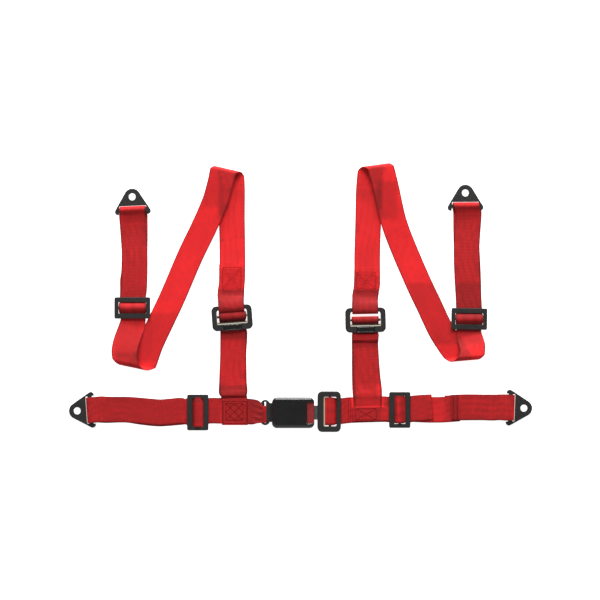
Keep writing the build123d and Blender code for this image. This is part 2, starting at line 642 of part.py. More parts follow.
ON_BELT_Z = DOUBLE_THICK * 1.5 + 0.2  # middle of a doubled strap lying on a doubled lap belt
CHEST_ROUTES = {  # x, y, z down from the adjuster to the sewn end on the lap belt
    "left": [
        (-127.3, 100.7, LAYERS_Z),
        (-127.1, 46.0, LAYERS_Z),
        (-124.5, 27.0, ON_BELT_Z),
        (-123.7, -27.0, ON_BELT_Z),
    ],
    "right": [
        (124.6, 114.0, LAYERS_Z),
        (126.4, 48.0, LAYERS_Z),
        (128.0, 28.0, ON_BELT_Z),
        (129.4, 5.0, ON_BELT_Z),
    ],
}


def chest_strap(name):
    where = place(LOCK_PLACES[name])
    across = side(where, WEB_WIDTH / 2, 0)
    top = LOCK_BOTTOM - 2.7
    stations = [(at(where, 0, y, LAYERS_Z), across, DOUBLE_THICK) for y in (top, top - 6)]
    return webbing(stations + flat(CHEST_ROUTES[name], thick=DOUBLE_THICK))


GATHERED = [  # x, y, z and half-width where the left lap webbing narrows to the buckle's slot
    (-86.0, -4.6, 2.6, 22.0),
    (-79.5, BUCKLE_WEB_Y, 4.6, 17.0),
    (-76.1, BUCKLE_WEB_Y, REAR_BAR_Z, 15.0),
]
LAP_ROUTES = {  # x and y between the hardware, from the left anchor to the right one
    "left_outer": [(-345.0, 1.0), (-268.0, -4.0)],
    "left_inner": [(-160.0, -1.6), (-96.0, -2.4)],
    "right_inner": [(98.0, -1.9), (160.0, -1.5)],
    "right_outer": [(249.0, 2.0), (296.0, 5.2), (350.0, 4.4)],
}


def lap_run(name):
    return flat([(x, y, LAYERS_Z) for x, y in LAP_ROUTES[name]], thick=DOUBLE_THICK)


def left_lap_strap():
    """Lap webbing from the left anchor plate to its gathered loop round the buckle's rear bar."""
    stations = anchor_start("left_lap")
    stations += lap_run("left_outer")
    stations += slide_humps(place(SLIDE_PLACES["left_lap"]), offset=1.6)
    stations += lap_run("left_inner")
    stations += [(Vector(x, y, z), Vector(0, half, 0), DOUBLE_THICK) for x, y, z, half in GATHERED]
    rear_bar = Location((REAR_BAR_X, BUCKLE_WEB_Y, 0), (0, 0, 90))
    rear_loop = bar_loop(rear_bar, 0, REAR_BAR_Z, REAR_LOOP_R, BUCKLE_WEB_WIDTH)
    return webbing(stations) + anchor_loop("left_lap") + rear_loop


def right_lap_strap():
    """Lap webbing from the turn round the tongue's lock bar to the right anchor plate."""
    ring = Rot(90, 0, 0) * extrude(wrap_ring(ADJ_WRAP_HALF), WEB_WIDTH / 2, both=True)
    wrap = Pos(ADJ_WRAP_X, ADJ_WRAP_Y, ADJ_Z) * ring
    floor = ADJ_Z - WRAP_INNER_R - DOUBLE_THICK / 2
    under = ADJ_Z - ADJ_HEIGHT / 2 - GAP - DOUBLE_THICK / 2
    leaving = [
        (ADJ_WRAP_X, ADJ_WRAP_Y, floor),
        (ADJ_OPEN_X1 - 4, ADJ_WRAP_Y, floor - 0.3),
        (ADJ_OPEN_X1 - 1, ADJ_WRAP_Y, under),
        (ADJ_X1 + 1, ADJ_WRAP_Y, under),
    ]
    stations = flat(leaving, thick=DOUBLE_THICK)
    stations += lap_run("right_inner")
    stations += slide_humps(place(SLIDE_PLACES["right_lap"]))
    stations += lap_run("right_outer")
    stations += reversed(anchor_start("right_lap", flip=-1))
    return webbing(stations) + anchor_loop("right_lap") + wrap


# ---------------------------------------------------------------- stitching

THREAD_WIDTH = 0.8
THREAD_HEIGHT = 0.35
THREAD_GAP = 0.03
TOP_OF_DOUBLE = LAYERS_Z + DOUBLE_THICK / 2
TOP_ON_BELT = ON_BELT_Z + DOUBLE_THICK / 2
BOX_STITCHES = {  # x0, x1, y0, y1 and the height of the webbing's top
    "left_lap_stitching": (-145.0, -104.0, -23.0, 14.0, TOP_ON_BELT),
    "right_lap_stitching": (107.0, 145.0, -21.0, 1.0, TOP_OF_DOUBLE),
    "left_loop_stitching": (-147.0, -112.0, 232.0, 266.0, TOP_OF_DOUBLE),
    "right_loop_stitching": (107.0, 143.0, 232.0, 262.0, TOP_OF_DOUBLE),
}
HEM_LINES = (291.0, 298.0)
HEM_Y0, HEM_Y1 = -14.0, 24.0


def thread(start, end, surface_z):
    """One straight run of stitching lying on webbing whose top is at surface_z."""
    (x0, y0), (x1, y1) = start, end
    length = math.hypot(x1 - x0, y1 - y0)
    turn = math.degrees(math.atan2(y1 - y0, x1 - x0))
    middle = ((x0 + x1) / 2, (y0 + y1) / 2, surface_z + THREAD_GAP + THREAD_HEIGHT / 2)
    return Location(middle, (0, 0, turn)) * Box(length + THREAD_WIDTH, THREAD_WIDTH, THREAD_HEIGHT)


def box_stitch(x0, x1, y0, y1, surface_z):
    """Square of stitching with both diagonals, as sewn on load-bearing webbing joints."""
    corners = [(x0, y0), (x1, y0), (x1, y1), (x0, y1)]
    runs = [thread(corners[i], corners[(i + 1) % 4], surface_z) for i in range(4)]
    runs += [thread(corners[i], corners[i + 2], surface_z) for i in range(2)]
    joined = runs[0]
    for run in runs[1:]:
        joined += run
    return joined


def hem_stitch():
    """Two lines of stitching across the webbing, over the sewn-down tail of the right lap strap."""
    lines = [thread((x, HEM_Y0), (x, HEM_Y1), TOP_OF_DOUBLE) for x in HEM_LINES]
    return Compound(children=[line.solid() for line in lines])


# ---------------------------------------------------------------- writing the parts


def buckle_parts():
    return {
        "buckle_bottom_cover": buckle_bottom_cover(),
        "buckle_top_cover": buckle_top_cover(),
        "buckle_cover_screws": cover_screws(),
        "buckle_frame": buckle_frame(),
        "latch_pin": pin_cylinder(LATCH_PIN_R, LATCH_PIN_LENGTH),
        "latch_plate": latch_plate(),
        "latch_spring": latch_spring(),
        "release_button": release_button(),
        "button_springs": button_springs(),
        "ejector": ejector(),
        "ejector_spring": ejector_spring(),
        "tongue_plate": tongue_plate(),
        "tongue_grip": tongue_grip(),
        "tongue_lock_bar": Pos(ADJ_WRAP_X, ADJ_Y, ADJ_Z) * Rot(0, 0, 90) * knurled_bar(LOCK_BAR_LENGTH),
    }


def adjuster_parts(name):
    """Tilt-lock adjuster of one shoulder strap, with its lock bar and the webbing turned round that."""
    where = place(LOCK_PLACES[name])
    return {
        name + "_adjuster_frame": where * lock_frame(name),
        name + "_adjuster_grip": where * lock_grip(),
        name + "_adjuster_wrap": where * lock_wrap(name),
        name + "_lock_bar": where * Pos(0, WRAP_CENTRE[name], LOCK_BAR_Z) * adjuster_bar(),
    }


def webbing_parts():
    parts = {
        "left_lap_strap": left_lap_strap(),
        "right_lap_strap": right_lap_strap(),
        "right_lap_hem_stitching": hem_stitch(),
    }
    for name in ("left", "right"):
        parts[name + "_shoulder_strap"] = shoulder_strap(name)
        parts[name + "_chest_strap"] = chest_strap(name)
    for node, sizes in BOX_STITCHES.items():
        parts[node] = box_stitch(*sizes)
    return parts


def all_parts():
    parts = buckle_parts() | webbing_parts()
    for name in LOCK_PLACES:
        parts |= adjuster_parts(name)
    for name, spec in ANCHOR_PLACES.items():
        parts[name + "_anchor_plate"] = place(spec) * anchor_plate()
    for name, spec in SLIDE_PLACES.items():
        parts[name + "_slide"] = place(spec) * three_bar_slide()
    return parts


os.makedirs("parts", exist_ok=True)
to_origin = Pos(-FOOTPRINT_MIDDLE[0], -FOOTPRINT_MIDDLE[1], 0)
for node, shape in all_parts().items():
    export_step(to_origin * shape, f"parts/{node}.step")
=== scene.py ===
import json
import math

import bpy
import numpy as np
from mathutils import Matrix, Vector


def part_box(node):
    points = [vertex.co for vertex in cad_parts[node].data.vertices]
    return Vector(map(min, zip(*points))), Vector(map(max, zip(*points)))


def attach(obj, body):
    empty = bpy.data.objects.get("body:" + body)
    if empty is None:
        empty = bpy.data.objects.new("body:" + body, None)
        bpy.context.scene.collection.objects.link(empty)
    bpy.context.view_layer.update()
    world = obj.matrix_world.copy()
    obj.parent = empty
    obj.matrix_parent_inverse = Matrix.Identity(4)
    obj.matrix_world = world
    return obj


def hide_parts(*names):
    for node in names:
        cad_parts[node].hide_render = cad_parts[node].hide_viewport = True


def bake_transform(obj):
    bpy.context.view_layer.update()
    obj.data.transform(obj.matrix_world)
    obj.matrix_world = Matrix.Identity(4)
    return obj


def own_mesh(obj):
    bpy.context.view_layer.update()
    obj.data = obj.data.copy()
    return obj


# Looks of the racing harness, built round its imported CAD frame. Sizes here are millimetres unless named
# otherwise: x to the tongue's side, y to the shoulder anchors, z up, measured from a point on the lap belt
# midway between the shoulder straps. The frame's own origin is the middle of the footprint. Webbing is
# modelled as woven ribbons. The stage, its lights and the camera are in metres.

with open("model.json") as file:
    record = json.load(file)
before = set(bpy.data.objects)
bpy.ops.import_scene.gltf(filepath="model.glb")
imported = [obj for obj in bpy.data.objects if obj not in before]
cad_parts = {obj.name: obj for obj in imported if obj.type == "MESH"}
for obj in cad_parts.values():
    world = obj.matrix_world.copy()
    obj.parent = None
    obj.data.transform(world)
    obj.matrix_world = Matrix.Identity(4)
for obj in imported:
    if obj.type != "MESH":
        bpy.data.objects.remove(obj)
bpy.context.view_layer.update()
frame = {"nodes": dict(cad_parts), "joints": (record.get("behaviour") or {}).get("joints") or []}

MM = 0.001
SIDES = ("left", "right")
FOOTPRINT_MIDDLE = np.array([1.045, 213.88, 0.0])
UP = np.array([0.0, 0.0, 1.0])

# Webbing
HALF = 24.5  # half the webbing's width
THICK = 1.2
LAYER_STEP = 1.25
LAYER = [0.65 + LAYER_STEP * i for i in range(2)]  # middle heights of layers lying on each other
ROW_STEP = 3.0  # length between two rows of vertices
COLUMNS = 14
LOOP_STEPS = 12
EDGE_TURN = (50, 0, -50)  # angles of the vertices round a ribbon's edge
FOLD_SPREAD = 1.03  # how much a fold widens the webbing
WANDER = 0.35  # how far a ribbon's slow waves take it sideways
SLOW_WAVE, QUICK_WAVE = 61.0, 23.0  # lengths of its waves, over 2 pi
UV_UNIT = 10.0  # length of one unit of a ribbon's UV map

# Painted light and shade of the webbing
COVER_CELL = 2.0
COVER_LOW = np.array([-480.0, -60.0])  # corner of the area whose layers are counted
COVER_SHAPE = (480, 280)
COVER_SMOOTHING = 3
EDGE_INSET = 7.0  # a ribbon's edges take the painted shade found this far inside
STACKED_SHADE = 0.3  # painted shade of webbing lying on many layers, which lets less light through
LAYER_FADE = 1.03  # how fast more layers take the painted shade down to it
PAINTED_LIGHT_AREAS = [  # painted light and shade over areas of the plan: x0, x1, y0, y1, width of the soft edge, factor
    (-160, -95, 229, 276, 1.0, 1.5),  # left loop's sewn box
    (-160, -95, 192, 229, 4.0, 0.8),  # left loop, standing off
    (-160, -95, 160, 195, 3.0, 0.7),  # its turn round the adjuster's top bar
    (95, 155, 229, 267.5, 1.0, 1.4),  # right loop's sewn box
    (95, 155, 190, 229, 4.0, 0.72),  # right loop, standing off
    (95, 155, 160, 192, 3.0, 0.75),  # its turn round the adjuster's top bar
    (-160, -95, 48, 148, 8.0, 1.22),  # left chest webbing
    (-160, -95, 134, 148, 6.0, 0.62),  # the same, shaded by the grip
    (-160, -95, 22, 46, 5.0, 0.75),  # its end, folded down
    (95, 155, 55, 130, 8.0, 1.05),  # right chest webbing
    (95, 155, 130, 160, 1.5, 1.6),  # its tail under the grip
    (95, 155, 118, 129, 4.0, 0.8),  # shaded by that tail
    (95, 158, 6.6, 50, 4.0, 1.2),  # right chest webbing near the lap belt
    (95, 158, 6.6, 22, 2.0, 1.35),  # the same, on top of the lap belt
    (-350, -285, 214, 230, 8.0, 0.9),  # left shoulder webbing, dipping under its slide
    (285, 350, 178, 194, 8.0, 0.95),  # right shoulder webbing, dipping under its slide
    (-350, -285, 176, 190, 5.0, 0.7),  # lower part of the left turn over the slide's bar
    (285, 350, 146, 158, 5.0, 0.7),  # lower part of the right turn over the slide's bar
    (-350, -235, 92, 185, 9.0, 0.8),  # left diagonal's lower end
    (-350, -320, 80, 110, 8.0, 0.75),  # its outer corner
    (206, 345, 124, 242, 8.0, 0.72),  # right diagonal below its crease
    (146, 184, 362, 434, 8.0, 0.7),  # right diagonal near its top fold
    (-362, -305, 100, 168, 8.0, 0.78),  # left turn's rise towards its fold
    (297, 356, 104, 152, 8.0, 0.86),  # right turn's rise towards its fold
    (-156, -103, 280, 420, 6.0, 0.92),  # left strap above its loop
    (102, 156, 271, 420, 6.0, 0.85),  # right strap above its loop
    (104, 128, 400, 452, 14.0, 0.84),  # right strap below its top fold
    (-186, -150, 385, 462, 10.0, 0.78),  # left diagonal near its top fold
    (-150, -126, 390, 456, 6.0, 1.12),  # its doubled part
    (-126, -104, 400, 455, 14.0, 0.86),  # left strap below its top fold
    (-420, -228, -32, 32, 6.0, 0.93),  # left lap webbing
    (-207, -199.5, -32, 32, 3.0, 0.4),  # shaded beside its slide's end bar
    (-180, -150, -32, 32, 6.0, 0.55),  # between its slide and the chest webbing
    (-97, -66, -32, 32, 4.0, 0.62),  # gathered towards the buckle
    (251, 276, -32, 32, 5.0, 0.78),  # single part of the right lap webbing
    (174, 182, -32, 32, 3.0, 0.48),  # shaded beside its slide's end bar
    (158, 172, 7.4, 32, 3.0, 0.7),  # between the chest webbing and the slide
    (-149.5, -99.5, -29, 21, 1.0, 1.22),  # left lap's sewn box
    (104, 146, -20.5, 5.0, 1.0, 1.45),  # right lap's sewn box
    (146.4, 168, -20.5, 5.0, 1.0, 1.25),  # flap beside it
    (104, 168, 5.0, 7.0, 0.8, 1.8),  # painted highlight on the rolled top edge of the flap
]

# Turns round bars: radius to the webbing's middle, and FLAT, how many times further out than high they reach
ANCHOR_LOOP_R = 4.55  # round an anchor plate's bar
ANCHOR_FLAT = 1.58
ANCHOR_SHIFT = 0.7  # of the shoulder webbing along that bar
LOCK_LOOP_R = 5.0  # round an adjuster's top bar
LOCK_LOOP_FLAT = {"left": 1.75, "right": 1.5}
WRAP_R = 3.5  # round a lock bar
WRAP_FLAT = {"left": 2.1, "right": 1.75}
WRAP_HALF = {"left": 26.0, "right": 25.6}
WRAP_SHIFT = {"left": 1.2, "right": -0.8}
TONGUE_WRAP_Y = -1.9
REAR_LOOP_R = 4.75  # round the rear bar of the buckle's frame
REAR_BAR = np.array([-71.25, -7.6, 5.5])

# The webbing's hump over a slide's middle bar, measured from the middle of the slide
SLIDE_TOP = 5.6  # top face of a slide
CREST_GAP = 0.75  # from that face to the middle of the webbing
CREST_END = 2.3  # end of the level part
SLOPE_MIDDLE = 6.9
SLIDE_FOOT = 11.6  # here the webbing is down on the surface
SLIDE_END = 17.0
SLIDE_SPREAD = 26.0  # half the webbing's width on the bar

# Folds of the shoulder webbing
BOTTOM_FOLD_R, TOP_FOLD_R = 7.6, 6.0


def vec(x, y, z=0.0):
    return np.array([x, y, z], float)


def unit(v):
    return v / np.linalg.norm(v)


def box_middle(node):
    low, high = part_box(node)
    return np.array((low + high) / 2) / MM + FOOTPRINT_MIDDLE


def to_frame(points):
    """Points in mm from the lap belt's middle, as metres in the frame."""
    return (np.asarray(points, float) - FOOTPRINT_MIDDLE) * MM


JOINTS = {joint["name"]: joint for joint in frame["joints"]}


def joint_line(name):
    """Point and direction of a hinge, in mm."""
    joint = JOINTS[name]
    return np.array(joint["pos_m"]) / MM + FOOTPRINT_MIDDLE, unit(np.array(joint["axis"], float))


def anchor_geometry(name):
    """Bar middle of an anchor plate, direction from the bar to the strap, and the bar's own direction."""
    bar, axis = joint_line(name + "_plate_swing")
    return bar, vec(axis[1], -axis[0]), axis


def adjuster_geometry(side):
    """Top bar's middle of an adjuster, direction down the strap, and direction across it."""
    bar, axis = joint_line(side + "_adjuster_tilt")
    return bar, vec(-axis[1], axis[0]), -axis


# ---- ribbons


def run(points, flip=1, half=HALF):
    """Keys of webbing lying flat through (x, y, z) points; flip 1 is face up, -1 turned over."""
    centres = [vec(*p[:3]) for p in points]
    keys = []
    for i, centre in enumerate(centres):
        travel = centres[min(i + 1, len(centres) - 1)] - centres[max(i - 1, 0)]
        across = unit(vec(-travel[1], travel[0])) * flip
        width = points[i][3] if len(points[i]) > 3 else half
        keys.append((centre, across * width))
    return keys


def loop(bar, travel, across, radius, half=HALF, flat=1.0, start=0.0, end=180.0, shift=0.0, drift=0.0):
    """Keys of webbing going over a bar along travel and back under it, drifting sideways on the way."""
    keys = []
    for i in range(LOOP_STEPS + 1):
        share = i / LOOP_STEPS
        angle = math.radians(start + (end - start) * share)
        out = travel * (math.sin(angle) * radius * flat) + UP * (math.cos(angle) * radius)
        keys.append((bar + out + across * (shift + drift * (share - 0.5)), across * half))
    return keys


def fold(middle, line_angle, shift, radius, side):
    """Keys of webbing turned over along a line in the plan, from an upper layer down to the surface."""
    line = vec(math.cos(math.radians(line_angle)), math.sin(math.radians(line_angle)))
    out = vec(-line[1], line[0]) * side
    keys = []
    for i in range(LOOP_STEPS + 1):
        share = i / LOOP_STEPS
        angle = math.pi * share
        height = LAYER[0] + radius * (1 + math.cos(angle))
        centre = vec(*middle) + line * (shift * (share - 0.5))
        centre = centre + out * (radius * math.sin(angle)) + UP * height
        keys.append((centre, line * HALF * FOLD_SPREAD))
    return keys


def spline(values, knots, at):
    """Catmull-Rom curve with uneven knots through rows of values."""
    index = np.clip(np.searchsorted(knots, at, side="right") - 1, 0, len(knots) - 2)
    before = np.maximum(index - 1, 0)
    after = np.minimum(index + 2, len(knots) - 1)
    k1, k2 = knots[index], knots[index + 1]
    p1, p2 = values[index], values[index + 1]
    length = (k2 - k1)[:, None]
    t = ((at - k1) / (k2 - k1))[:, None]
    m1 = (p2 - values[before]) / (k2 - knots[before])[:, None] * length
    m2 = (values[after] - p1) / (knots[after] - k1)[:, None] * length
    return (
        (2 * t**3 - 3 * t**2 + 1) * p1
        + (t**3 - 2 * t**2 + t) * m1
        + (-2 * t**3 + 3 * t**2) * p2
        + (t**3 - t**2) * m2
    )


class Ribbon:
    """Webbing swept through keys (middle, half-width vector)."""

    def __init__(self, name, keys, relief=None, shade=None, seed=0.0):
        self.name = name
        self.relief = relief
        self.shade = shade
        middles = np.array([k[0] for k in keys])
        acrosses = np.array([k[1] for k in keys])
        gaps = np.linalg.norm(np.diff(middles, axis=0), axis=1)
        knots = np.concatenate([[0.0], np.cumsum(np.maximum(gaps, 1e-3))])
        at = [0.0]
        for low, high in zip(knots[:-1], knots[1:]):
            steps = max(1, round((high - low) / ROW_STEP))
            at += [low + (high - low) * (i + 1) / steps for i in range(steps)]
        at = np.array(at)
        self.middle = spline(middles, knots, at)
        across = spline(acrosses, knots, at)
        lengths = np.linalg.norm(np.diff(self.middle, axis=0), axis=1)
        self.along = np.concatenate([[0.0], np.cumsum(lengths)])
        tangent = np.gradient(self.middle, self.along, axis=0)
        tangent /= np.linalg.norm(tangent, axis=1)[:, None]
        self.half = np.linalg.norm(across, axis=1)
        self.across = across / self.half[:, None]
        wave = np.sin(self.along / SLOW_WAVE + seed) + 0.6 * np.sin(self.along / QUICK_WAVE + 2.3 * seed)
        self.middle = self.middle + self.across * (WANDER * wave)[:, None]
        normal = np.cross(tangent, self.across)
        self.normal = normal / np.linalg.norm(normal, axis=1)[:, None]
        self.tangent = tangent

    def profile(self):
        """Cross-section as (share of the flat half-width, height, edge bulge) going once round."""
        top = [(-1 + 2 * i / COLUMNS, THICK / 2, 0.0) for i in range(COLUMNS + 1)]
        turn = [math.radians(a) for a in EDGE_TURN]
        right = [(1.0, THICK / 2 * math.sin(a), THICK / 2 * math.cos(a)) for a in turn]
        bottom = [(-s, -w, 0.0) for s, w, _ in top]
        left = [(-s, -w, -e) for s, w, e in right]
        return np.array(top + right + bottom + left)

    def surface(self):
        """Vertices as an array (rows, round, 3), and their u and v in mm."""
        profile = self.profile()
        flat = (self.half - THICK / 2)[:, None]
        u = flat * profile[None, :, 0] + profile[None, :, 2]
        v = np.repeat(self.along[:, None], len(profile), axis=1)
        w = np.repeat(profile[None, :, 1], len(self.along), axis=0)
        if self.relief is not None:
            w = w + self.relief(u, v, self.middle)
        points = self.middle[:, None] + self.across[:, None] * u[..., None]
        points = points + self.normal[:, None] * w[..., None]
        return points, u, v


# ---- how many layers lie at each place


class Coverage:
    """Number of webbing layers over each cell of the plan. Light passes through one, so more look darker."""

    def __init__(self):
        self.layers = np.zeros(COVER_SHAPE)

    def add(self, piece):
        points, _, _ = piece.surface()
        top = points[:, : COLUMNS + 1, :2]
        middle = (top[:-1, :-1] + top[1:, 1:] + top[:-1, 1:] + top[1:, :-1]) / 4
        d1 = top[1:, 1:] - top[:-1, :-1]
        d2 = top[1:, :-1] - top[:-1, 1:]
        area = np.abs(d1[..., 0] * d2[..., 1] - d1[..., 1] * d2[..., 0]) / 2
        cells = ((middle - COVER_LOW) / COVER_CELL).astype(int)
        cells = np.clip(cells, 0, np.array(COVER_SHAPE) - 1)
        np.add.at(self.layers, (cells[..., 0], cells[..., 1]), area / COVER_CELL**2)

    def smooth(self):
        for _ in range(COVER_SMOOTHING):
            padded = np.pad(self.layers, 1, mode="edge")
            beside = padded[:-2, 1:-1] + padded[2:, 1:-1] + padded[1:-1, :-2] + padded[1:-1, 2:]
            self.layers = (self.layers * 2 + beside) / 6

    def tone(self, xy):
        spot = (xy - COVER_LOW) / COVER_CELL - 0.5
        base = np.clip(spot.astype(int), 0, np.array(COVER_SHAPE) - 2)
        part = np.clip(spot - base, 0, 1)
        x, y = base[..., 0], base[..., 1]
        x_part, y_part = part[..., 0], part[..., 1]
        low = self.layers[x, y] * (1 - x_part) + self.layers[x + 1, y] * x_part
        high = self.layers[x, y + 1] * (1 - x_part) + self.layers[x + 1, y + 1] * x_part
        layers = np.maximum(low * (1 - y_part) + high * y_part, 1.0)
        return STACKED_SHADE + (1 - STACKED_SHADE) * np.exp(-(layers - 1) * LAYER_FADE)


def painted_light_of_areas(xy):
    """Painted light and shade of the listed areas over each point, fading across their soft edges."""
    tone = np.ones(xy.shape[:-1])
    for x0, x1, y0, y1, soft, factor in PAINTED_LIGHT_AREAS:
        x_depth = np.minimum(xy[..., 0] - x0, x1 - xy[..., 0])
        y_depth = np.minimum(xy[..., 1] - y0, y1 - xy[..., 1])
        share = np.clip(np.minimum(x_depth, y_depth) / soft + 0.5, 0, 1)
        tone = tone * (1 + (factor - 1) * share)
    return tone


# ---- meshes


def new_object(name, vertices, faces, material, smooth=True):
    mesh = bpy.data.meshes.new(name)
    mesh.from_pydata([tuple(p) for p in vertices], [], faces)
    mesh.update()
    mesh.materials.append(material)
    if smooth:
        mesh.flip_normals()
        mesh.polygons.foreach_set("use_smooth", [True] * len(mesh.polygons))
    made = bpy.data.objects.new(name, mesh)
    bpy.context.scene.collection.objects.link(made)
    return made


def ribbon_object(piece, coverage, material):
    points, u, v = piece.surface()
    rows, ring = u.shape
    last_under = 2 * COLUMNS + 4  # the bottom's last vertex, going once round
    faces = []
    for i in range(rows - 1):
        for j in range(ring):
            k = (j + 1) % ring
            faces.append((i * ring + j, (i + 1) * ring + j, (i + 1) * ring + k, i * ring + k))
    for row, order in ((0, 1), (rows - 1, -1)):
        for j in range(COLUMNS):
            other = last_under - j
            corners = [j, j + 1, other - 1, other]
            faces.append(tuple(row * ring + c for c in corners[::order]))
        for first in (COLUMNS, last_under):
            corners = [(first + n) % ring for n in range(len(EDGE_TURN) + 2)]
            faces.append(tuple(row * ring + c for c in corners[::order]))
    made = new_object(piece.name, to_frame(points.reshape(-1, 3)), faces, material)
    layer = made.data.uv_layers.new(name="webbing")
    corner_vertex = np.zeros(len(made.data.loops), int)
    made.data.loops.foreach_get("vertex_index", corner_vertex)
    uv = np.stack([u.ravel(), v.ravel()], axis=1)[corner_vertex] / UV_UNIT
    layer.data.foreach_set("uv", uv.astype(np.float32).ravel())
    inner = np.clip(u, -piece.half[:, None] + EDGE_INSET, piece.half[:, None] - EDGE_INSET)
    sampled = piece.middle[:, None] + piece.across[:, None] * inner[..., None]
    # painted light and shade: less light through stacked layers, the listed areas, and the ribbon's own shade
    values = coverage.tone(sampled[..., :2]) * painted_light_of_areas(points[..., :2])
    if piece.shade is not None:
        values = values * piece.shade(u, v, piece.middle)
    tone = made.data.attributes.new("tone", "FLOAT", "POINT")
    tone.data.foreach_set("value", values.astype(np.float32).ravel())
    return made


def top_of(piece, x, y):
    """Highest surface of a ribbon over a point in the plan."""
    to_point = vec(x, y) - piece.middle
    to_point[:, 2] = 0
    along = np.abs(np.sum(to_point * piece.tangent, axis=1))
    sideways = np.abs(np.sum(to_point * piece.across, axis=1))
    near = (along < ROW_STEP) & (sideways < piece.half)
    return piece.middle[near][:, 2].max() + THICK / 2 if near.any() else 0.0


STITCH_LENGTH = 3.4
STITCH_GAP = 0.7
THREAD_R = 0.55
THREAD_SIDES, THREAD_CUTS = 6, 5  # vertices round a stitch, and rings along it
THREAD_SINK, THREAD_RISE = 0.28, 0.42  # depth its ends are aimed at, and how far it arches up from there
ARCH_START = 0.08  # share of the whole arch that is cut off at each end
END_THICKNESS = 0.45  # of a stitch where the arch would end, as a share


def stitches(name, lines, piece, material):
    """Short raised stitches along plan lines ((x0, y0), (x1, y1)), whose ends dip into the webbing."""
    vertices, faces = [], []
    sides, cuts = THREAD_SIDES, THREAD_CUTS
    for start, end in lines:
        a, b = vec(*start), vec(*end)
        length = np.linalg.norm(b - a)
        count = max(1, round(length / (STITCH_LENGTH + STITCH_GAP)))
        along = (b - a) / length
        cross = vec(-along[1], along[0])
        for i in range(count):
            first = length * i / count + STITCH_GAP / 2
            last = length * (i + 1) / count - STITCH_GAP / 2
            base = len(vertices)
            for c in range(cuts):
                share = c / (cuts - 1)
                bulge = math.sin(math.pi * (ARCH_START + (1 - 2 * ARCH_START) * share))
                spot = a + along * (first + (last - first) * share)
                spot[2] = top_of(piece, spot[0], spot[1]) - THREAD_SINK + THREAD_RISE * bulge
                radius = THREAD_R * (END_THICKNESS + (1 - END_THICKNESS) * bulge)
                for k in range(sides):
                    angle = 2 * math.pi * k / sides
                    ring = cross * (math.cos(angle) * radius) + UP * (math.sin(angle) * radius)
                    vertices.append(to_frame(spot + ring))
            for c in range(cuts - 1):
                for k in range(sides):
                    n = (k + 1) % sides
                    q = base + c * sides
                    faces.append((q + k, q + n, q + sides + n, q + sides + k))
            faces.append(tuple(base + k for k in reversed(range(sides))))
            faces.append(tuple(base + (cuts - 1) * sides + k for k in range(sides)))
    return new_object(name, vertices, faces, material)


# ---- materials


class Paint:
    """Small helper that builds a node material."""

    def __init__(self, name):
        self.material = bpy.data.materials.new(name)
        self.material.use_nodes = True
        self.tree = self.material.node_tree
        self.shader = self.tree.nodes["Principled BSDF"]

    def link(self, value, socket):
        if hasattr(value, "is_output"):
            self.tree.links.new(value, socket)
        else:
            socket.default_value = value

    def set(self, **inputs):
        for name, value in inputs.items():
            self.link(value, self.shader.inputs[name.replace("_", " ")])

    def node(self, kind, inputs=(), **settings):
        """Outputs of a new shader node, given its settings and the values or links of its inputs."""
        made = self.tree.nodes.new("ShaderNode" + kind)
        for name, value in settings.items():
            setattr(made, name, value)
        for socket, value in dict(inputs).items():
            self.link(value, made.inputs[socket])
        return made.outputs

    def math(self, operation, *values):
        return self.node("Math", enumerate(values), operation=operation)[0]

    def times(self, *values):
        product = values[0]
        for value in values[1:]:
            product = self.math("MULTIPLY", product, value)
        return product

    def sum(self, *values):
        total = values[0]
        for value in values[1:]:
            total = self.math("ADD", total, value)
        return total

    def scale(self, colour, factor):
        return self.node("VectorMath", {0: colour, "Scale": factor}, operation="SCALE")[0]

    def plus(self, a, b):
        return self.node("VectorMath", {0: a, 1: b})[0]

    def mix(self, factor, a, b):
        return self.node("Mix", {"Factor": factor, "A": a, "B": b}, data_type="RGBA")["Result"]

    def range(self, value, low, high, to_low, to_high):
        return self.node("MapRange", enumerate((value, low, high, to_low, to_high)))["Result"]

    def uv(self):
        across, along, _ = self.split(self.node("UVMap", uv_map="webbing")["UV"])
        return self.times(across, UV_UNIT), self.times(along, UV_UNIT)

    def place(self):
        return self.node("TexCoord")["Object"]

    def joined(self, x, y, z=0.0):
        return self.node("CombineXYZ", enumerate((x, y, z)))[0]

    def split(self, vector):
        return tuple(self.node("SeparateXYZ", {0: vector}))

    def noise(self, vector, scale, detail=2.0, roughness=0.5):
        inputs = {"Vector": vector, "Scale": scale, "Detail": detail, "Roughness": roughness}
        return self.node("TexNoise", inputs)["Fac"]

    def attribute(self, name):
        return self.node("Attribute", attribute_name=name)["Fac"]

    def bevel(self, radius_mm, samples):
        return self.node("Bevel", {"Radius": radius_mm * MM}, samples=samples)[0]

    def bump(self, height, distance_mm, strength=1.0, round_mm=None):
        inputs = {"Strength": strength, "Distance": distance_mm * MM, "Height": height}
        if round_mm:
            inputs["Normal"] = self.bevel(round_mm, 6)
        self.set(Normal=self.node("Bump", inputs)[0])

    def edges(self, radius_mm):
        """1 on edges sharper than the radius, 0 on flat places."""
        normals = {0: self.bevel(radius_mm, 4), 1: self.node("NewGeometry")["Normal"]}
        match = self.node("VectorMath", normals, operation="DOT_PRODUCT")["Value"]
        return self.range(match, 0.995, 0.9, 0.0, 1.0)


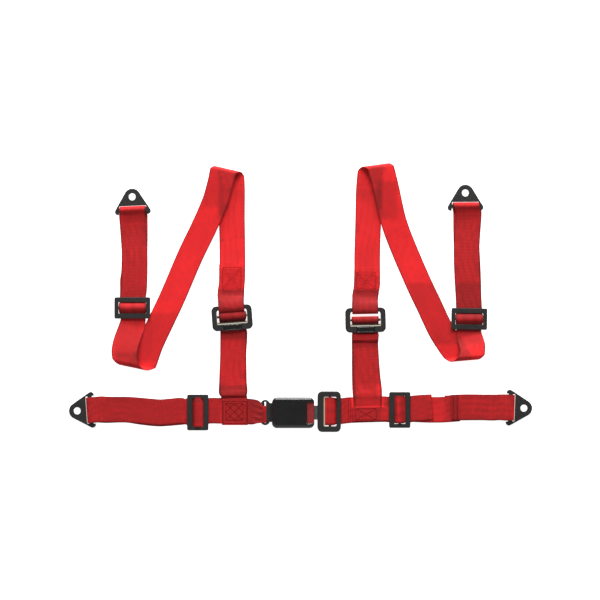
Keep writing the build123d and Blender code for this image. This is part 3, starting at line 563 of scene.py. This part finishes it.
RIB_WIDTH = 3.5  # of one stripe of the herringbone
SELVEDGE = (21.9, 23.4)  # from the webbing's middle, where its tighter edge begins
WEBBING_RED = (0.76, 0.012, 0.015)
PAINTED_SHEEN = (0.0, 0.007, 0.007)  # painted sheen: grey added to the webbing, which keeps shaded webbing from going pure red
# grey of the coating's grain specks, which also stand in as painted glints
GREY_SPECK_AND_GLINT = (0.09, 0.09, 0.092, 1)
# lighter edges: rubbed coating, and also a painted highlight
RUBBED_AND_HIGHLIT_EDGE = (0.1, 0.098, 0.095, 1)
PALE_LIP = (0.62, 0.55, 0.42, 1)
# painted warm reflection, laid on the tongue's steel lip
PAINTED_WARM_REFLECTION = (0.95, 0.78, 0.5, 1)
ADJUSTER_LIP = ((29.4, 31.2), (-1.0, 28.4))  # reach down from the top bar, and distance from the middle
ADJUSTER_SIDES = ((9.0, 29.0), (27.0, 29.1))  # the same, for the thin lines
SIDES_SHARE = 0.75  # how pale those are
TONGUE_LIP = (45.2, 47.4)
DRAWN_LINES = (40.0, 1500.0, 1500.0)  # fineness of the noise along x, y and z


def webbing_paint():
    """Tightly woven: ribs along it, a herringbone across it, darker selvedges and a soft sheen, with painted
    light and shade from each ribbon and a painted grey sheen.
    """
    paint = Paint("red_webbing")
    u, v = paint.uv()
    zone = paint.math("PINGPONG", u, RIB_WIDTH)
    twill = paint.math("SINE", paint.times(paint.sum(v, paint.times(zone, 1.1)), 3.3))
    warp = paint.math("SINE", paint.times(u, 7.0))
    weave = paint.sum(paint.times(twill, 0.6), paint.times(warp, 0.4))
    streaks = paint.noise(paint.joined(paint.times(u, 0.9), paint.times(v, 0.03)), 1.0, 3.0)
    patches = paint.noise(paint.joined(paint.times(u, 0.03), paint.times(v, 0.014)), 1.0, 2.0)
    selvedge = paint.range(paint.math("ABSOLUTE", u), *SELVEDGE, 0.0, 1.0)
    # the ribbons' painted light and shade scales the woven pattern's colour
    light = paint.times(
        paint.range(streaks, 0.3, 0.7, 0.96, 1.03),
        paint.range(patches, 0.3, 0.7, 0.9, 1.08),
        paint.range(weave, -1.0, 1.0, 0.93, 1.04),
        paint.range(selvedge, 0.0, 1.0, 1.0, 0.55),
        paint.attribute("tone"),
    )
    # the painted sheen is added on top of the red
    paint.set(Base_Color=paint.plus(paint.scale(WEBBING_RED, light), PAINTED_SHEEN))
    paint.set(Roughness=0.7, Specular_IOR_Level=0.15)
    paint.set(Sheen_Weight=0.06, Sheen_Roughness=0.5, Sheen_Tint=(1.0, 0.2, 0.2, 1.0))
    paint.bump(paint.sum(weave, paint.times(streaks, 1.2)), 0.1, 0.6)
    return paint.material


def thread_paint(name, dark, light):
    """Twisted sewing thread, a shade darker than the webbing."""
    paint = Paint(name)
    x, y, z = paint.split(paint.place())
    twist = paint.math("SINE", paint.times(paint.sum(x, y, z), 9000.0))
    paint.set(Base_Color=paint.mix(paint.range(twist, -1.0, 1.0, 0.0, 1.0), dark, light))
    paint.set(Roughness=0.8, Specular_IOR_Level=0.05)
    paint.bump(twist, 0.08)
    return paint.material


def coated_paint(
    name, colour, grain, roughness, wear_and_highlight, bump_mm, speck_and_glint=0.0, round_mm=1.2, shine=0.42, lip=None
):
    """Black coating or moulding: grain with grey specks, partly painted glints; uneven satin; lighter edges,
    partly rubbed and partly a painted highlight; a pale lip if given.
    """
    paint = Paint(name)
    place = paint.place()
    speckle = paint.noise(place, grain, 3.0, 0.65)
    clouds = paint.noise(place, 60.0, 2.0)
    rubbing_and_highlight = paint.range(paint.noise(place, 700.0, 3.0), 0.42, 0.6, 0.0, wear_and_highlight)
    # lighter edges: partly rubbed coating, partly a painted highlight along them
    edge = paint.times(paint.edges(0.5), rubbing_and_highlight)
    dull = paint.scale(colour, paint.range(clouds, 0.3, 0.7, 0.8, 1.25))
    # grey specks of the grain, partly painted glints
    dull = paint.mix(paint.range(speckle, 0.55, 0.68, 0.0, speck_and_glint), dull, GREY_SPECK_AND_GLINT)
    look = paint.mix(edge, dull, RUBBED_AND_HIGHLIT_EDGE)
    if lip:
        look = paint.mix(lip(paint), look, PALE_LIP)
    paint.set(Base_Color=look, Specular_IOR_Level=shine)
    paint.set(Roughness=paint.range(speckle, 0.3, 0.7, roughness - 0.08, roughness + 0.12))
    paint.bump(speckle, bump_mm, 0.6, round_mm=round_mm)
    return paint.material


def within(paint, value, low, high, soft=0.15):
    """1 where a value lies between low and high, softened at both ends."""
    above = paint.range(value, low - soft, low + soft, 0.0, 1.0)
    below = paint.range(value, high - soft, high + soft, 1.0, 0.0)
    return paint.times(above, below)


def adjuster_lip(side):
    """Where an adjuster's coat is painted pale: its lower lip, and thin lines up both sides of its opening.
    """
    bar, down, _ = adjuster_geometry(side)
    bar = bar - FOOTPRINT_MIDDLE

    def mask(paint):
        x, y, _ = paint.split(paint.place())
        x = paint.math("SUBTRACT", paint.math("DIVIDE", x, MM), float(bar[0]))
        y = paint.math("SUBTRACT", paint.math("DIVIDE", y, MM), float(bar[1]))
        down_x, down_y = float(down[0]), float(down[1])
        along = paint.sum(paint.times(x, down_x), paint.times(y, down_y))
        cross = paint.math("SUBTRACT", paint.times(x, down_y), paint.times(y, down_x))
        cross = paint.math("ABSOLUTE", cross)
        lip, sides = (
            paint.times(within(paint, along, *reach), within(paint, cross, *breadth))
            for reach, breadth in (ADJUSTER_LIP, ADJUSTER_SIDES)
        )
        return paint.math("MAXIMUM", lip, paint.times(sides, SIDES_SHARE))

    return mask


def button_paint():
    """Smooth red plastic, a little cloudy."""
    paint = Paint("red_button")
    place = paint.place()
    cloud = paint.noise(place, 140.0, 2.0)
    paint.set(Base_Color=paint.scale((0.26, 0.012, 0.014), paint.range(cloud, 0.3, 0.7, 0.85, 1.12)))
    paint.set(Roughness=paint.range(paint.noise(place, 900.0, 3.0), 0.3, 0.7, 0.3, 0.45), Coat_Weight=0.15)
    paint.bump(paint.noise(place, 1800.0, 2.0), 0.04, 0.4)
    return paint.material


def steel_paint(name, colour, roughness, lip=None):
    """Plated steel with fine drawn lines, blotches in the plating, dull patches and a painted warm reflection
    on a lip if given.
    """
    paint = Paint(name)
    place = paint.place()
    drawn = paint.joined(*(paint.times(axis, s) for axis, s in zip(paint.split(place), DRAWN_LINES)))
    lines = paint.noise(drawn, 1.0, 4.0, 0.6)
    blotch = paint.noise(place, 120.0, 3.0)
    look = paint.scale(colour, paint.range(blotch, 0.3, 0.7, 0.78, 1.12))
    if lip:
        # painted warm reflection on the lip
        look = paint.mix(lip(paint), look, PAINTED_WARM_REFLECTION)
    paint.set(Base_Color=look, Metallic=1.0)
    paint.set(Roughness=paint.range(lines, 0.3, 0.7, roughness - 0.08, roughness + 0.12))
    paint.bump(lines, 0.05, 0.5)
    return paint.material


def tongue_lip(paint):
    """Warm reflections on the steel lip beside the lap webbing's turn."""
    x, _, _ = paint.split(paint.place())
    x = paint.sum(paint.math("DIVIDE", x, MM), float(FOOTPRINT_MIDDLE[0]))
    return within(paint, x, *TONGUE_LIP, 0.3)


def assign(nodes, material):
    for node in nodes:
        data = frame["nodes"][node].data
        data.materials.clear()
        data.materials.append(material)


# ---- routes of the webbing


def slide_hump(middle, travel, layer, sideways=0.0):
    """Points over the middle bar of a slide, for the lower (0) or upper (1) layer of a doubled strap."""
    side = vec(-travel[1], travel[0]) * sideways
    crest = SLIDE_TOP + CREST_GAP + LAYER_STEP * layer
    foot = LAYER[layer]
    halfway = foot * 0.45 + crest * 0.55
    falling = [
        (CREST_END, crest, SLIDE_SPREAD),
        (SLOPE_MIDDLE, halfway, SLIDE_SPREAD),
        (SLIDE_FOOT, foot + 0.1, HALF),
        (SLIDE_END, foot, HALF),
    ]
    steps = [(-reach, z, half) for reach, z, half in reversed(falling)] + falling
    return [
        tuple(middle + side + travel * reach + UP * (z - middle[2])) + (half,) for reach, z, half in steps
    ]


def level(height, places):
    """Points at one height over (x, y) places."""
    return [(x, y, height) for x, y in places]


def beside(bar, direction, reach, height):
    """Point in the plan at a reach from a bar, at a height."""
    return tuple((bar + direction * reach)[:2]) + (height,)


def onto_loop(bar, away):
    """Points of a strap's upper layer rising onto the turn round an anchor plate's bar."""
    return [beside(bar, away, 20, LAYER[1] + 1.6), beside(bar, away, 9, bar[2] + ANCHOR_LOOP_R - 1.3)]


SHOULDERS = {
    "left": {
        "anchor_drift": 2.0,
        "rear_upper": [(-318.2, 370.0), (-316.4, 336.0), (-314.4, 300.0), (-314.2, 262.0), (-315.6, 226.0)],
        "rear_lower": [
            (-313.8, 370.0), (-313.6, 336.0), (-314.0, 300.0),
            (-315.0, 262.0), (-317.4, 246.0), (-317.6, 226.0),
        ],
        "after_slide": [
            (-318.0, 163.0, 1.4), (-324.0, 146.0, 5.0), (-330.2, 126.0, 10.2), (-332.4, 110.0, 13.6),
        ],
        "bottom_fold": {"middle": (-314.5, 88.6), "line_angle": -12.0, "shift": 32.0},
        "diagonal": [
            (-283.1, 126.0, 0.7), (-264.0, 167.0, 0.7), (-244.8, 209.0, 0.7), (-207.1, 296.4, 1.2),
            (-181.6, 349.6, 4.2), (-160.6, 397.1, 8.0), (-150.1, 433.2, 11.4),
        ],
        "top_fold": {"middle": (-137.7, 451.3), "line_angle": -12.9, "shift": 15.6},
        "drop": [(-128.9, 420.0), (-128.9, 360.0), (-128.8, 292.0)],
        "tail_end": 275.5,
    },
    "right": {
        "anchor_drift": -2.2,
        "rear_upper": [(320.0, 376.0), (319.2, 350.0), (317.0, 310.0), (317.4, 262.0), (319.8, 214.0)],
        "rear_lower": [(315.4, 376.0), (315.6, 350.0), (316.2, 310.0), (318.4, 262.0), (320.2, 214.0)],
        "after_slide": [(321.0, 141.0, 2.0), (324.6, 130.0, 6.0), (327.2, 119.0, 11.0)],
        "bottom_fold": {"middle": (312.0, 102.0), "line_angle": 4.9, "shift": -25.8},
        "diagonal": [
            (285.4, 124.3, 0.7), (267.3, 152.0, 0.7), (242.6, 204.0, 0.7), (221.9, 248.1, 0.7),
            (196.1, 307.8, 1.4), (178.2, 358.0, 4.5), (163.8, 419.9, 9.5),
        ],
        "top_fold": {"middle": (143.9, 458.8), "line_angle": 7.7, "shift": -18.4},
        "drop": [(130.7, 414.0), (129.0, 360.0), (127.6, 292.0)],
        "tail_end": 267.0,
    },
}


def shoulder_webbing(side):
    """Round the anchor's bar, twice through the slide, over both folds and round the adjuster's top bar."""
    route = SHOULDERS[side]
    bar, away, axis = anchor_geometry(side + "_shoulder")
    slide = box_middle(side + "_rear_slide")
    lock_bar, down, lock_axis = adjuster_geometry(side)
    up_strap = vec(0, 1)
    keys = run(slide_hump(slide, up_strap, 1), flip=-1)[1:]
    keys += run(level(LAYER[1], reversed(route["rear_upper"][1:])), flip=-1)
    keys += [(vec(*route["rear_upper"][0], LAYER[1] + 2.6), axis * HALF)]
    drifting = {"shift": ANCHOR_SHIFT, "drift": route["anchor_drift"]}
    keys += loop(bar, -away, axis, ANCHOR_LOOP_R, flat=ANCHOR_FLAT, **drifting)
    keys += run(level(LAYER[0], route["rear_lower"]))
    keys += run(slide_hump(slide, -up_strap, 0))
    keys += run(route["after_slide"])
    keys += fold(**route["bottom_fold"], radius=BOTTOM_FOLD_R, side=-1)
    keys += run(route["diagonal"], flip=-1)
    keys += fold(**route["top_fold"], radius=TOP_FOLD_R, side=1)
    keys += run(level(LAYER[0], route["drop"]))
    end = route["tail_end"]
    start_x = route["drop"][-1][0]
    doubled = [(start_x, end - 8, LAYER[1]), (start_x - 0.4, end - 30, LAYER[1])]
    doubled.append(beside(lock_bar, -down, 26, LAYER[1] + 1.0))
    doubled.append(beside(lock_bar, -down, 9, lock_bar[2] + LOCK_LOOP_R - 1.2))
    keys += run(doubled)
    keys += loop(lock_bar, down, lock_axis, LOCK_LOOP_R, flat=LOCK_LOOP_FLAT[side])
    tail = [beside(lock_bar, -down, 12, 0.85), (start_x - 0.6, end - 30, LAYER[0]), (start_x, end, LAYER[0])]
    keys += run(tail, flip=-1)
    return Ribbon(side + "_shoulder_webbing", keys, seed=1.0 if side == "left" else 2.0)


CHESTS = {
    "left": {
        "upper": [
            (-126.9, 148.0, 1.9), (-127.4, 126.0, 1.9), (-127.8, 100.0, 1.9), (-128.4, 70.0, 1.9, 25.0),
            (-127.6, 52.0, 2.1, 26.2), (-127.0, 39.0, 3.4, 27.4), (-126.6, 31.5, 5.0, 26.8),
            (-126.6, 28.2, 5.4, 25.6), (-126.6, 26.4, 4.6, 23.6), (-126.6, 25.7, 3.3, 20.6),
        ],
        "lower": [
            (-124.6, 148.0, 0.65), (-126.0, 110.0, 0.65), (-125.4, 74.0, 0.65), (-125.0, 46.0, 0.65),
            (-125.2, 31.0, 0.75), (-125.0, 23.5, 1.9), (-123.7, 18.0, 3.15), (-123.8, 0.0, 3.15),
            (-123.8, -28.4, 3.15),
        ],
    },
    "right": {
        "upper": [
            (123.4, 142.0, 1.9), (124.6, 114.0, 1.9), (125.4, 86.0, 1.9, 25.2), (126.4, 60.0, 1.9, 26.2),
            (128.0, 40.0, 2.6, 27.0), (128.4, 30.0, 4.0, 27.0), (128.6, 20.0, 3.7, 26.8),
            (128.6, 10.0, 3.15, 26.4), (128.4, -2.0, 2.6, 25.4), (127.0, -18.0, 1.95),
        ],
        "lower": [
            (123.4, 142.0, 0.65), (123.5, 114.0, 0.65), (123.4, 66.0, 0.65), (123.6, 42.0, 0.65),
            (124.5, 29.0, 1.2), (126.0, 18.0, 1.95), (127.5, 8.0, 1.95),
        ],
    },
}


def chest_webbing(side):
    """Ribbon from the lap belt, under the adjuster's grip, round the lock bar and back to the lap belt."""
    route = CHESTS[side]
    _, down, lock_axis = adjuster_geometry(side)
    bar = box_middle(side + "_lock_bar")
    wrap = {"half": WRAP_HALF[side], "flat": WRAP_FLAT[side], "shift": WRAP_SHIFT[side]}
    keys = run(list(reversed(route["lower"])), flip=-1)
    keys += [(vec(*beside(bar, down, reach, z)), lock_axis * HALF) for reach, z in ((22, 0.75), (12, 1.3))]
    keys += loop(bar, -down, lock_axis, WRAP_R, start=190, end=-38, **wrap)
    keys += [(vec(*beside(bar, down, reach, z)), lock_axis * HALF) for reach, z in ((12, 2.75), (22, 2.05))]
    keys += run(route["upper"])
    edge = np.dot(bar + down * WRAP_R * WRAP_FLAT[side], down)

    def shade(u, v, middle):
        """Darkens the wrap's lower side and the webbing that leaves it under the grip."""
        reach = middle @ down - edge
        past = np.clip((reach + 10.0) / 10.0, 0, 1) * np.clip((24.0 - reach) / 6.0, 0, 1)
        return (1 - 0.6 * past**2)[:, None] * np.ones_like(u)

    relief = chest_relief if side == "left" else None
    return Ribbon(side + "_chest_webbing", keys, relief=relief, shade=shade, seed=3.0)


def chest_relief(u, v, middle):
    """Creases across the webbing's end where it stops at the lap belt."""
    y = middle[:, 1][:, None]
    upper = np.where(middle[:, 2] > 1.7, 1.0, 0.0)[:, None]
    shape = np.exp(-(((y - 35.0) / 6.0) ** 2)) * np.cos((y - 35.0) * 2 * math.pi / 5.8)
    return 0.45 * shape * upper * np.ones_like(u)


def right_chest_tail():
    """Hemmed free end of the right chest strap, lying under the adjuster's grip."""
    keys = run([(123.0, 154.0, 3.15), (123.4, 134.0, 3.15), (123.5, 131.6, 3.2)])
    keys += [(vec(123.6, 130.0, 3.8), vec(HALF, 0))]
    keys += run([(123.8, 131.6, 4.4), (124.2, 136.0, 4.4), (124.6, 146.0, 4.4)], flip=-1)

    def relief(u, v, middle):
        near_end = np.clip((np.abs(u) - 12.0) / 10.0, 0, 1)
        return near_end * 0.5 * np.sin(v * 2 * math.pi / 5.0 + 1.0)

    return Ribbon("right_chest_tail", keys, relief=relief, seed=8.0)


def left_lap_webbing():
    """From the slide round the anchor bar and back, then gathered to the buckle's rear bar and back under."""
    bar, away, axis = anchor_geometry("left_lap")
    slide = box_middle("left_lap_slide")
    inward = vec(1, 0)
    keys = run(slide_hump(slide, -inward, 1, 2.6))[1:]
    upper = [(-222.0, -1.9), (-252.0, -3.6), (-268.0, -4.2), (-300.0, -1.2), (-330.0, 0.9), (-366.0, 1.0)]
    keys += run(level(LAYER[1], upper) + onto_loop(bar, away))
    keys += loop(bar, -away, -axis if axis[1] > 0 else axis, ANCHOR_LOOP_R, flat=ANCHOR_FLAT)
    lower = [(-370.0, 0.4), (-330.0, 0.6), (-300.0, -3.8), (-268.0, -6.8), (-240.0, -5.0), (-222.0, -3.4)]
    keys += run([beside(bar, away, 12, 0.85)] + level(LAYER[0], lower), flip=-1)
    keys += run(slide_hump(slide, inward, 0, 2.2), flip=-1)
    beneath_chest = [(-166.0, -1.6, LAYER[0]), (-152.0, -1.8, 1.2)]
    beneath_chest += [(-142.0, -2.0, LAYER[1]), (-104.0, -2.4, LAYER[1])]
    keys += run(beneath_chest, flip=-1)
    gather = [(-90.0, -3.2, 2.9, 24.4), (-84.0, -4.6, 4.8, 23.4)]
    gather += [(-79.0, -6.6, 7.6, 20.4), (-75.0, -7.6, 9.6, 17.0)]
    keys += run(gather, flip=-1)
    keys += loop(REAR_BAR, inward, vec(0, -1), REAR_LOOP_R, half=16.0, flat=1.45)
    back = [(-78.0, -7.0, 0.75, 16.5), (-84.0, -5.2, 0.65, 21.0)]
    back += [(-92.0, -3.4, 0.65, 24.0), (-104.0, -2.4, 0.65)]
    keys += run(back)
    keys += run([(-125.0, -2.2, 0.65), (-148.0, -2.0, 0.65)])
    return Ribbon("left_lap_webbing", keys, relief=gather_relief, seed=4.0)


def gather_relief(u, v, middle):
    """Pleats that take up the width where the webbing narrows to the buckle's slot."""
    x = middle[:, 0][:, None]
    z = middle[:, 2][:, None]
    share = np.clip((x + 96.0) / 20.0, 0, 1) * np.clip((-70.0 - x) / 6.0, 0, 1)
    share = share * np.where(z > 1.0, 1.0, 0.0)
    return share * 0.9 * np.sin(u * 2 * math.pi / 11.0 + 0.6)


def right_lap_main():
    """From its hem beside the chest strap, round the tongue's lock bar, and along the lap to the slide."""
    bar = box_middle("tongue_lock_bar")
    bar[1] = TONGUE_WRAP_Y
    inward = vec(-1, 0)
    slide = box_middle("right_lap_slide")
    across = vec(0, 1)
    keys = run([(98.6, 0.8, LAYER[1]), (92.0, 0.4, LAYER[1]), (84.0, -0.8, 2.3)], flip=-1)
    keys += [(vec(x, TONGUE_WRAP_Y, z), across * HALF) for x, z in ((76.5, 4.2), (70.5, 4.6))]
    keys += loop(bar, inward, across, WRAP_R, half=26.4, flat=2.6, start=-40, end=190)
    keys += [(vec(x, TONGUE_WRAP_Y, z), across * HALF) for x, z in ((70.5, 3.3), (76.5, 2.5))]
    keys += run([(84.0, -1.4, 1.1), (94.0, -0.4, LAYER[0]), (110.0, 0.4, LAYER[0]), (160.0, 1.4, LAYER[0])])
    keys += run(slide_hump(slide, -inward, 0))
    beyond_slide = [(216.0, 1.2, 0.65), (236.0, 0.6, 0.65), (256.0, 0.6, 0.8)]
    beyond_slide += [(270.0, 1.0, 1.6), (280.0, 1.6, 1.95), (302.0, 3.2, 1.95)]
    keys += run(beyond_slide)
    return Ribbon("right_lap_webbing", keys, seed=5.0)


def right_lap_front():
    """Second layer through the right slide: narrower over the chest strap's end, its tail past the slide."""
    slide = box_middle("right_lap_slide")
    flap = level(3.2, [(101.0, -7.4), (112.0, -7.4), (146.0, -7.0)])
    keys = run(flap + [(158.0, -6.6, 2.6), (163.0, -6.2, 2.0)], half=13.8)
    keys += run([(172.0, -0.6, 1.95, 24.2)] + slide_hump(slide, vec(1, 0), 1, 0.6)[2:])
    keys += run([(214.0, 2.6, 1.95), (232.0, 4.0, 1.95), (251.5, 5.2, 1.95)])
    return Ribbon("right_lap_front", keys, seed=6.0)


def right_lap_anchor():
    """Loop round the right lap anchor's bar, sewn to the end of the lap webbing."""
    bar, away, axis = anchor_geometry("right_lap")
    across = axis if axis[1] > 0 else -axis
    keys = run(level(LAYER[0], [(276.0, 3.0), (310.0, 4.6), (350.0, 4.6), (372.0, 4.6)]))
    keys += [(vec(*beside(bar, away, 12, 0.85)), across * HALF)]
    keys += list(reversed(loop(bar, -away, across, ANCHOR_LOOP_R, flat=ANCHOR_FLAT)))
    keys += [(vec(*point), across * HALF) for point in reversed(onto_loop(bar, away))]
    upper = [(366.0, 4.8, 1.95), (340.0, 5.6, 1.95), (318.0, 5.6, 2.2), (306.0, 5.4, 3.1), (286.4, 4.6, 3.25)]
    keys += run(upper, flip=-1)
    return Ribbon("right_lap_anchor_webbing", keys, seed=7.0)


# ---- building the pieces

ribbons = [shoulder_webbing(side) for side in SIDES]
ribbons += [chest_webbing(side) for side in SIDES]
ribbons += [left_lap_webbing(), right_chest_tail(), right_lap_main(), right_lap_front(), right_lap_anchor()]
pieces = {piece.name: piece for piece in ribbons}

coverage = Coverage()
for piece in ribbons:
    coverage.add(piece)
coverage.smooth()

red = webbing_paint()
objects = {piece.name: ribbon_object(piece, coverage, red) for piece in ribbons}


def bend_with_adjuster(made):
    """Bakes the place of a piece of webbing on the chest strap into its mesh."""
    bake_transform(made)


for side in SIDES:
    body = "harness_" + side
    shoulder = objects[side + "_shoulder_webbing"]
    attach(shoulder, body)
    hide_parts(side + "_shoulder_strap")
    chest = objects[side + "_chest_webbing"]
    bend_with_adjuster(chest)
    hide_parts(side + "_chest_strap", side + "_adjuster_wrap")
bend_with_adjuster(objects["right_chest_tail"])
lap = objects["left_lap_webbing"]
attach(lap, "harness_left")
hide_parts("left_lap_strap")
for name in ("right_lap_webbing", "right_lap_front", "right_lap_anchor_webbing"):
    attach(objects[name], "harness_right")
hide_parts("right_lap_strap")

dark_thread = thread_paint("dark_red_thread", (0.09, 0.003, 0.004, 1), (0.24, 0.007, 0.008, 1))
red_thread = thread_paint("red_thread", (0.2, 0.006, 0.008, 1), (0.4, 0.012, 0.014, 1))


def rectangle(x0, x1, y0, y1):
    corners = [(x0, y0), (x1, y0), (x1, y1), (x0, y1)]
    return [(corners[i], corners[(i + 1) % 4]) for i in range(4)]


def crossed(x0, x1, y0, y1):
    return rectangle(x0, x1, y0, y1) + [((x0, y0), (x1, y1)), ((x0, y1), (x1, y0))]


def sew(name, lines, webbing, node=None, thread=dark_thread):
    """Thread on a ribbon of the left or right half, in the place of a node of the frame if one is given."""
    made = stitches(name, lines, pieces[webbing], thread)
    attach(made, "harness_" + name.split("_")[0])
    if node:
        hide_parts(node)


def across_lap(y0, y1, *places):
    """Seams across the lap belt at places along x."""
    return [((x, y0), (x, y1)) for x in places]


def lattice(x0, x1, y0, y1, cells):
    """Rectangle with a diamond lattice of diagonal seams inside it."""
    lines = rectangle(x0, x1, y0, y1)
    width, height = x1 - x0, y1 - y0
    for i in range(cells):
        a, b = i / cells, (cells - i) / cells
        lines.append(((x0 + width * a, y0), (x1, y0 + height * b)))
        lines.append(((x0 + width * a, y1), (x1, y1 - height * b)))
        if i:
            lines.append(((x0, y0 + height * a), (x0 + width * b, y1)))
            lines.append(((x0, y1 - height * a), (x0 + width * b, y0)))
    return lines


left_lap_box = lattice(-141.0, -108.0, -19.0, 13.0, 2) + rectangle(-146.0, -102.5, -25.0, 17.0)
sew("left_lap_stitches", left_lap_box, "left_chest_webbing", "left_lap_stitching")
sew("left_lap_end_stitches", across_lap(-24.0, 19.0, -99.6), "left_lap_webbing")
left_loop_box = crossed(-147.0, -112.0, 230.0, 271.0)
sew("left_loop_stitches", left_loop_box, "left_shoulder_webbing", "left_loop_stitching", red_thread)
right_loop_box = crossed(107.5, 143.0, 230.0, 262.0)
sew("right_loop_stitches", right_loop_box, "right_shoulder_webbing", "right_loop_stitching", red_thread)
right_lap_box = crossed(106.0, 144.5, -18.0, 3.0)
sew("right_lap_stitches", right_lap_box, "right_lap_front", "right_lap_stitching")
sew("right_lap_hem_stitches", across_lap(-22.0, 24.0, 92.4, 96.2), "right_lap_webbing")
hem_seams = [((100.5, y), (147.0, y)) for y in (132.6, 144.6)]
hem = stitches("right_chest_hem_stitches", hem_seams, pieces["right_chest_tail"], dark_thread)
bend_with_adjuster(hem)
joint_seams = across_lap(-18.5, 28.0, 290.7, 298.3)
sew("right_lap_joint_stitches", joint_seams, "right_lap_anchor_webbing", "right_lap_hem_stitching")

COAT_LOOK = {
    "colour": (0.009, 0.0085, 0.008),
    "grain": 1100.0,
    "roughness": 0.5,
    "wear_and_highlight": 0.5,
    "bump_mm": 0.25,
    "speck_and_glint": 0.55,
}
MOULDING_LOOK = {
    "colour": (0.004, 0.004, 0.0042),
    "grain": 2600.0,
    "roughness": 0.18,
    "wear_and_highlight": 0.35,
    "bump_mm": 0.012,
    "round_mm": 3.2,
    "shine": 0.7,
}
coat = coated_paint("black_coated_steel", **COAT_LOOK)
moulding = coated_paint("black_moulding", **MOULDING_LOOK)
steel = steel_paint("plated_steel", (0.24, 0.245, 0.25), 0.38)
dark_steel = steel_paint("dark_lock_bars", (0.04, 0.04, 0.042), 0.45)
SLIDES = ["left_lap_slide", "left_rear_slide", "right_lap_slide", "right_rear_slide"]
PLATES = [f"{side}_{end}_anchor_plate" for side in SIDES for end in ("lap", "shoulder")]
assign(SLIDES + PLATES + ["buckle_frame", "tongue_grip"], coat)
for side in SIDES:
    pale_lipped_coat = coated_paint(side + "_adjuster_coat", lip=adjuster_lip(side), **COAT_LOOK)
    assign([side + "_adjuster_frame"], pale_lipped_coat)
assign(["left_adjuster_grip", "right_adjuster_grip"], moulding)
assign(["buckle_top_cover", "buckle_bottom_cover", "ejector"], moulding)
assign(["release_button"], button_paint())
assign(["tongue_plate"], steel_paint("tongue_steel", (0.2, 0.205, 0.21), 0.38, lip=tongue_lip))
assign(["latch_plate", "latch_pin", "buckle_cover_screws"], steel)
assign(["latch_spring", "button_springs", "ejector_spring"], steel)
assign(["left_lock_bar", "right_lock_bar", "tongue_lock_bar"], dark_steel)

# ---- copies of the buckle's springs


def pressed_spring(node, axis, end):
    """Copy of a buckle's spring in steel on the left half, in place of the frame's one; its fixed end is
    given in m, and the copy keeps its length.
    """
    low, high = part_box(node)
    direction = np.array(axis, float)
    anchor = (np.array(low) + np.array(high)) / 2
    anchor = anchor * (1 - np.abs(direction)) + np.abs(direction) * end
    made = bpy.data.objects.new(node + "_coils", frame["nodes"][node].data.copy())
    bpy.context.scene.collection.objects.link(made)
    made.data.materials.clear()
    made.data.materials.append(steel)
    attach(made, "harness_left")
    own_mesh(made)
    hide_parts(node)


def fixed_end(joint, key):
    """Fixed end of the spring that a joint deforms, from the record."""
    return JOINTS[joint]["deforming_nodes"][0][key]


button_end = fixed_end("button_press", "fixed_end_x_m")
pressed_spring("button_springs", (1, 0, 0), button_end)
latch_end = fixed_end("latch_lift", "fixed_end_z_m")
pressed_spring("latch_spring", (0, 0, 1), latch_end)

# ---- stage, light and camera


VIEW_WIDTH = 1.140  # of what the camera sees on the surface
VIEW_MIDDLE_Y = 209.0
FLOOR_HALF, FLOOR_DROP = 12.0, 0.0004


def floor_paint():
    paint = Paint("pale_floor")
    cloud = paint.noise(paint.place(), 2.0, 2.0)
    share = paint.range(cloud, 0.3, 0.7, 0.0, 1.0)
    paint.set(Base_Color=paint.mix(share, (0.88, 0.88, 0.88, 1), (0.91, 0.91, 0.91, 1)))
    paint.set(Roughness=0.9, Specular_IOR_Level=0.1)
    paint.set(Emission_Color=(1.0, 1.0, 1.0, 1.0), Emission_Strength=0.8)
    return paint.material


def add_floor():
    corners = [(-1, -1), (1, -1), (1, 1), (-1, 1)]
    vertices = [(x * FLOOR_HALF, y * FLOOR_HALF, -FLOOR_DROP) for x, y in corners]
    new_object("floor", vertices, [(0, 1, 2, 3)], floor_paint(), smooth=False)


def add_area(name, place, aim, size, power):
    light = bpy.data.lights.new(name, "AREA")
    light.shape = "RECTANGLE"
    light.size, light.size_y = size
    light.energy = power
    lamp = bpy.data.objects.new(name, light)
    bpy.context.scene.collection.objects.link(lamp)
    lamp.location = place
    lamp.rotation_mode = "QUATERNION"
    lamp.rotation_quaternion = (Vector(aim) - Vector(place)).to_track_quat("-Z", "Y")


def add_world(strength):
    world = bpy.data.worlds.new("studio")
    world.use_nodes = True
    background = world.node_tree.nodes["Background"]
    background.inputs["Color"].default_value = (1.0, 1.0, 1.0, 1.0)
    background.inputs["Strength"].default_value = strength
    bpy.context.scene.world = world


def add_camera():
    """Straight above the harness, far enough for almost parallel sight lines."""
    camera = bpy.data.cameras.new("camera")
    camera.lens = 120.0
    camera.sensor_width = 36.0
    camera.clip_end = 50.0
    height = VIEW_WIDTH * camera.lens / camera.sensor_width
    made = bpy.data.objects.new("camera", camera)
    bpy.context.scene.collection.objects.link(made)
    made.location = tuple(to_frame((0.0, VIEW_MIDDLE_Y, height / MM)))
    bpy.context.scene.camera = made


add_floor()
add_world(0.2)
add_area("key", (0.1, 3.0, 2.2), (0.0, 0.2, 0.0), (2.6, 1.6), 150.0)
add_area("fill", (-0.4, -1.8, 3.0), (0.0, 0.2, 0.0), (3.0, 2.0), 20.0)
add_area("rim", (0.0, 2.2, 0.55), (0.0, 0.1, 0.0), (2.4, 0.5), 70.0)
add_camera()
bpy.context.scene.view_settings.view_transform = "Standard"
